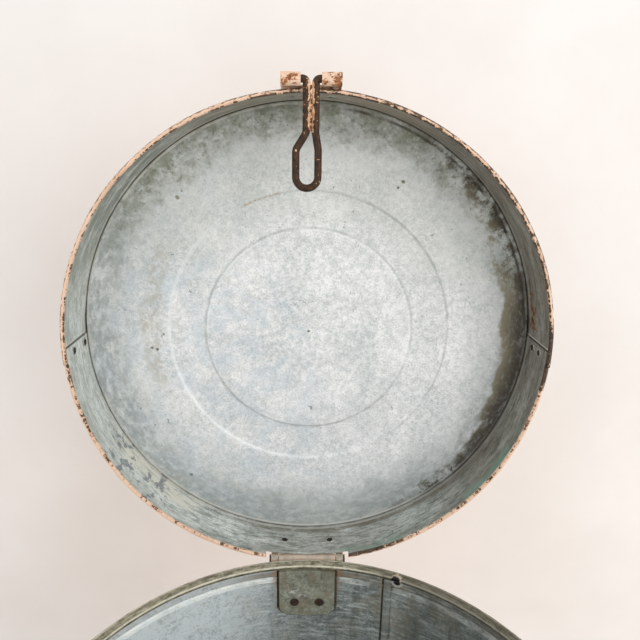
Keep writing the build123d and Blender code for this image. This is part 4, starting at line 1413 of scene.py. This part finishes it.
outline = [(-0.62, -0.95), (-0.22, -1.1), (0.25, -1.08), (0.6, -0.9),
           (0.5, -0.4), (0.43, 0.2), (-0.43, 0.2), (-0.5, -0.4)]
corners = [(x * MM, HASP_DEPTH + y * MM, BEAD_LOW) for x, y in outline]
mesh = extrude_outline(bmesh.new(), corners, (0, 0, BEAD_LONG))
for cut in range(1, BEAD_CUTS):
    cut_across(mesh, (0, 0, BEAD_LOW + cut * BEAD_LONG / BEAD_CUTS), (0, 0, 1))
bmesh.ops.recalc_face_normals(mesh, faces=mesh.faces)
for vertex in mesh.verts:
    if vertex.co.y < HASP_DEPTH - 0.8 * MM:
        vertex.co.y += noise.noise(vertex.co * 260) * 0.25 * MM
        vertex.co.x += noise.noise(vertex.co * 190 + Vector((4, 0, 2))) * 0.25 * MM
finish_piece("hasp_paint_bead", mesh, [gap_paint], "hasp", sheet=False)

# %% [markdown]
# ## Finishes for the measured pieces
# The bent wires and straps are already the right shape, so they keep their meshes and only get
# their finish.

# %% Give the finishes
finishes = {
    bottom_sheet: ["body_bottom"],
    plate_zinc: ["hinge_body_leaf"],
    leaf_zinc: ["hinge_lid_leaf"],
    hasp_iron: ["hasp"],
    wire_iron: ["hinge_pin", "rim_wire", "staple", "bail_left", "bail_right"],
    fitting_paint: ["staple_plate", "bail_clip_left", "bail_clip_right", "hasp_clip"],
}
for finish, nodes in finishes.items():
    for node in nodes:
        for material_slot in frame["nodes"][node].material_slots:
            material_slot.material = finish
print("finished nodes:", sum(len(nodes) for nodes in finishes.values()))

# %% [markdown]
# ## Floor and backdrop
# One warm white sweep, floor and wall in a single bent sheet, so that no line crosses the picture.
# It shows from its front only, so the tin can also be looked at from behind.

# %% Sweep
SWEEP_FRONT = -2.2
SWEEP_WALL = 0.34
SWEEP_BEND = 0.10
SWEEP_HALF = 2.4
SWEEP_TOP = 2.2

mesh = bmesh.new()
bend = arc_points((SWEEP_WALL - SWEEP_BEND, SWEEP_BEND), SWEEP_BEND, -90, 90, 16)
line = [(SWEEP_FRONT, 0.0)] + bend + [(SWEEP_WALL, SWEEP_TOP)]
corners = [mesh.verts.new((-SWEEP_HALF, depth, height)) for depth, height in line]
lines = [mesh.edges.new(ends) for ends in zip(corners, corners[1:])]
grown = bmesh.ops.extrude_edge_only(mesh, edges=lines)
moved = [item for item in grown["geom"] if isinstance(item, bmesh.types.BMVert)]
bmesh.ops.translate(mesh, verts=moved, vec=(2 * SWEEP_HALF, 0, 0))
face_outwards(mesh, Vector((0, -1.0, 1.5)))
sweep_paper, place = start_material("sweep_paper", roughness=0.9)
fibre = ease(cloud(place, 6.0, 4.0, 0.6), 0.3, 0.7)
paper = blend(fibre, colour(239, 236, 233), colour(244, 242, 240))
feed(bench.shader.inputs["Base Color"], paper)
bench.shader.inputs["Specular IOR Level"].default_value = 0.1
behind = add("NewGeometry").outputs["Backfacing"]
clear = add("BsdfTransparent").outputs[0]
shown = add("MixShader", {0: behind, 1: bench.shader.outputs[0], 2: clear}).outputs[0]
feed(bench.tree.nodes["Material Output"].inputs["Surface"], shown)
sweep = make_object("sweep", mesh, [sweep_paper])
print("sweep stands at", SWEEP_WALL, "m")

# %% [markdown]
# ## Light
# A big soft lamp at the right and in front, a weaker one at the left, and an even sky. The right
# wall of the lid then throws its soft shade over the disc, as one window would make it.


# %% Lamps and sky
def add_lamp(name, place, target, size, power, tint=(1, 1, 1)):
    data = bpy.data.lights.new(name, "AREA")
    data.shape = "DISK"
    data.size = size
    data.energy = power
    data.color = tint
    lamp = bpy.data.objects.new(name, data)
    bpy.context.scene.collection.objects.link(lamp)
    lamp.location = place
    lamp.rotation_euler = (Vector(target) - Vector(place)).to_track_quat("-Z", "Y").to_euler()
    print(name, "at", place)


TARGET = (0, 0.1, 0.42)
add_lamp("window_lamp", (1.25, -1.15, 1.15), TARGET, 1.3, 13.5, (1.0, 0.99, 0.975))
add_lamp("left_lamp", (-1.4, -1.2, 1.2), TARGET, 1.2, 5)

sky = bpy.data.worlds.new("sky")
sky.use_nodes = True
sky.node_tree.nodes["Background"].inputs["Color"].default_value = colour(253, 252, 251)
sky.node_tree.nodes["Background"].inputs["Strength"].default_value = 0.79
bpy.context.scene.world = sky
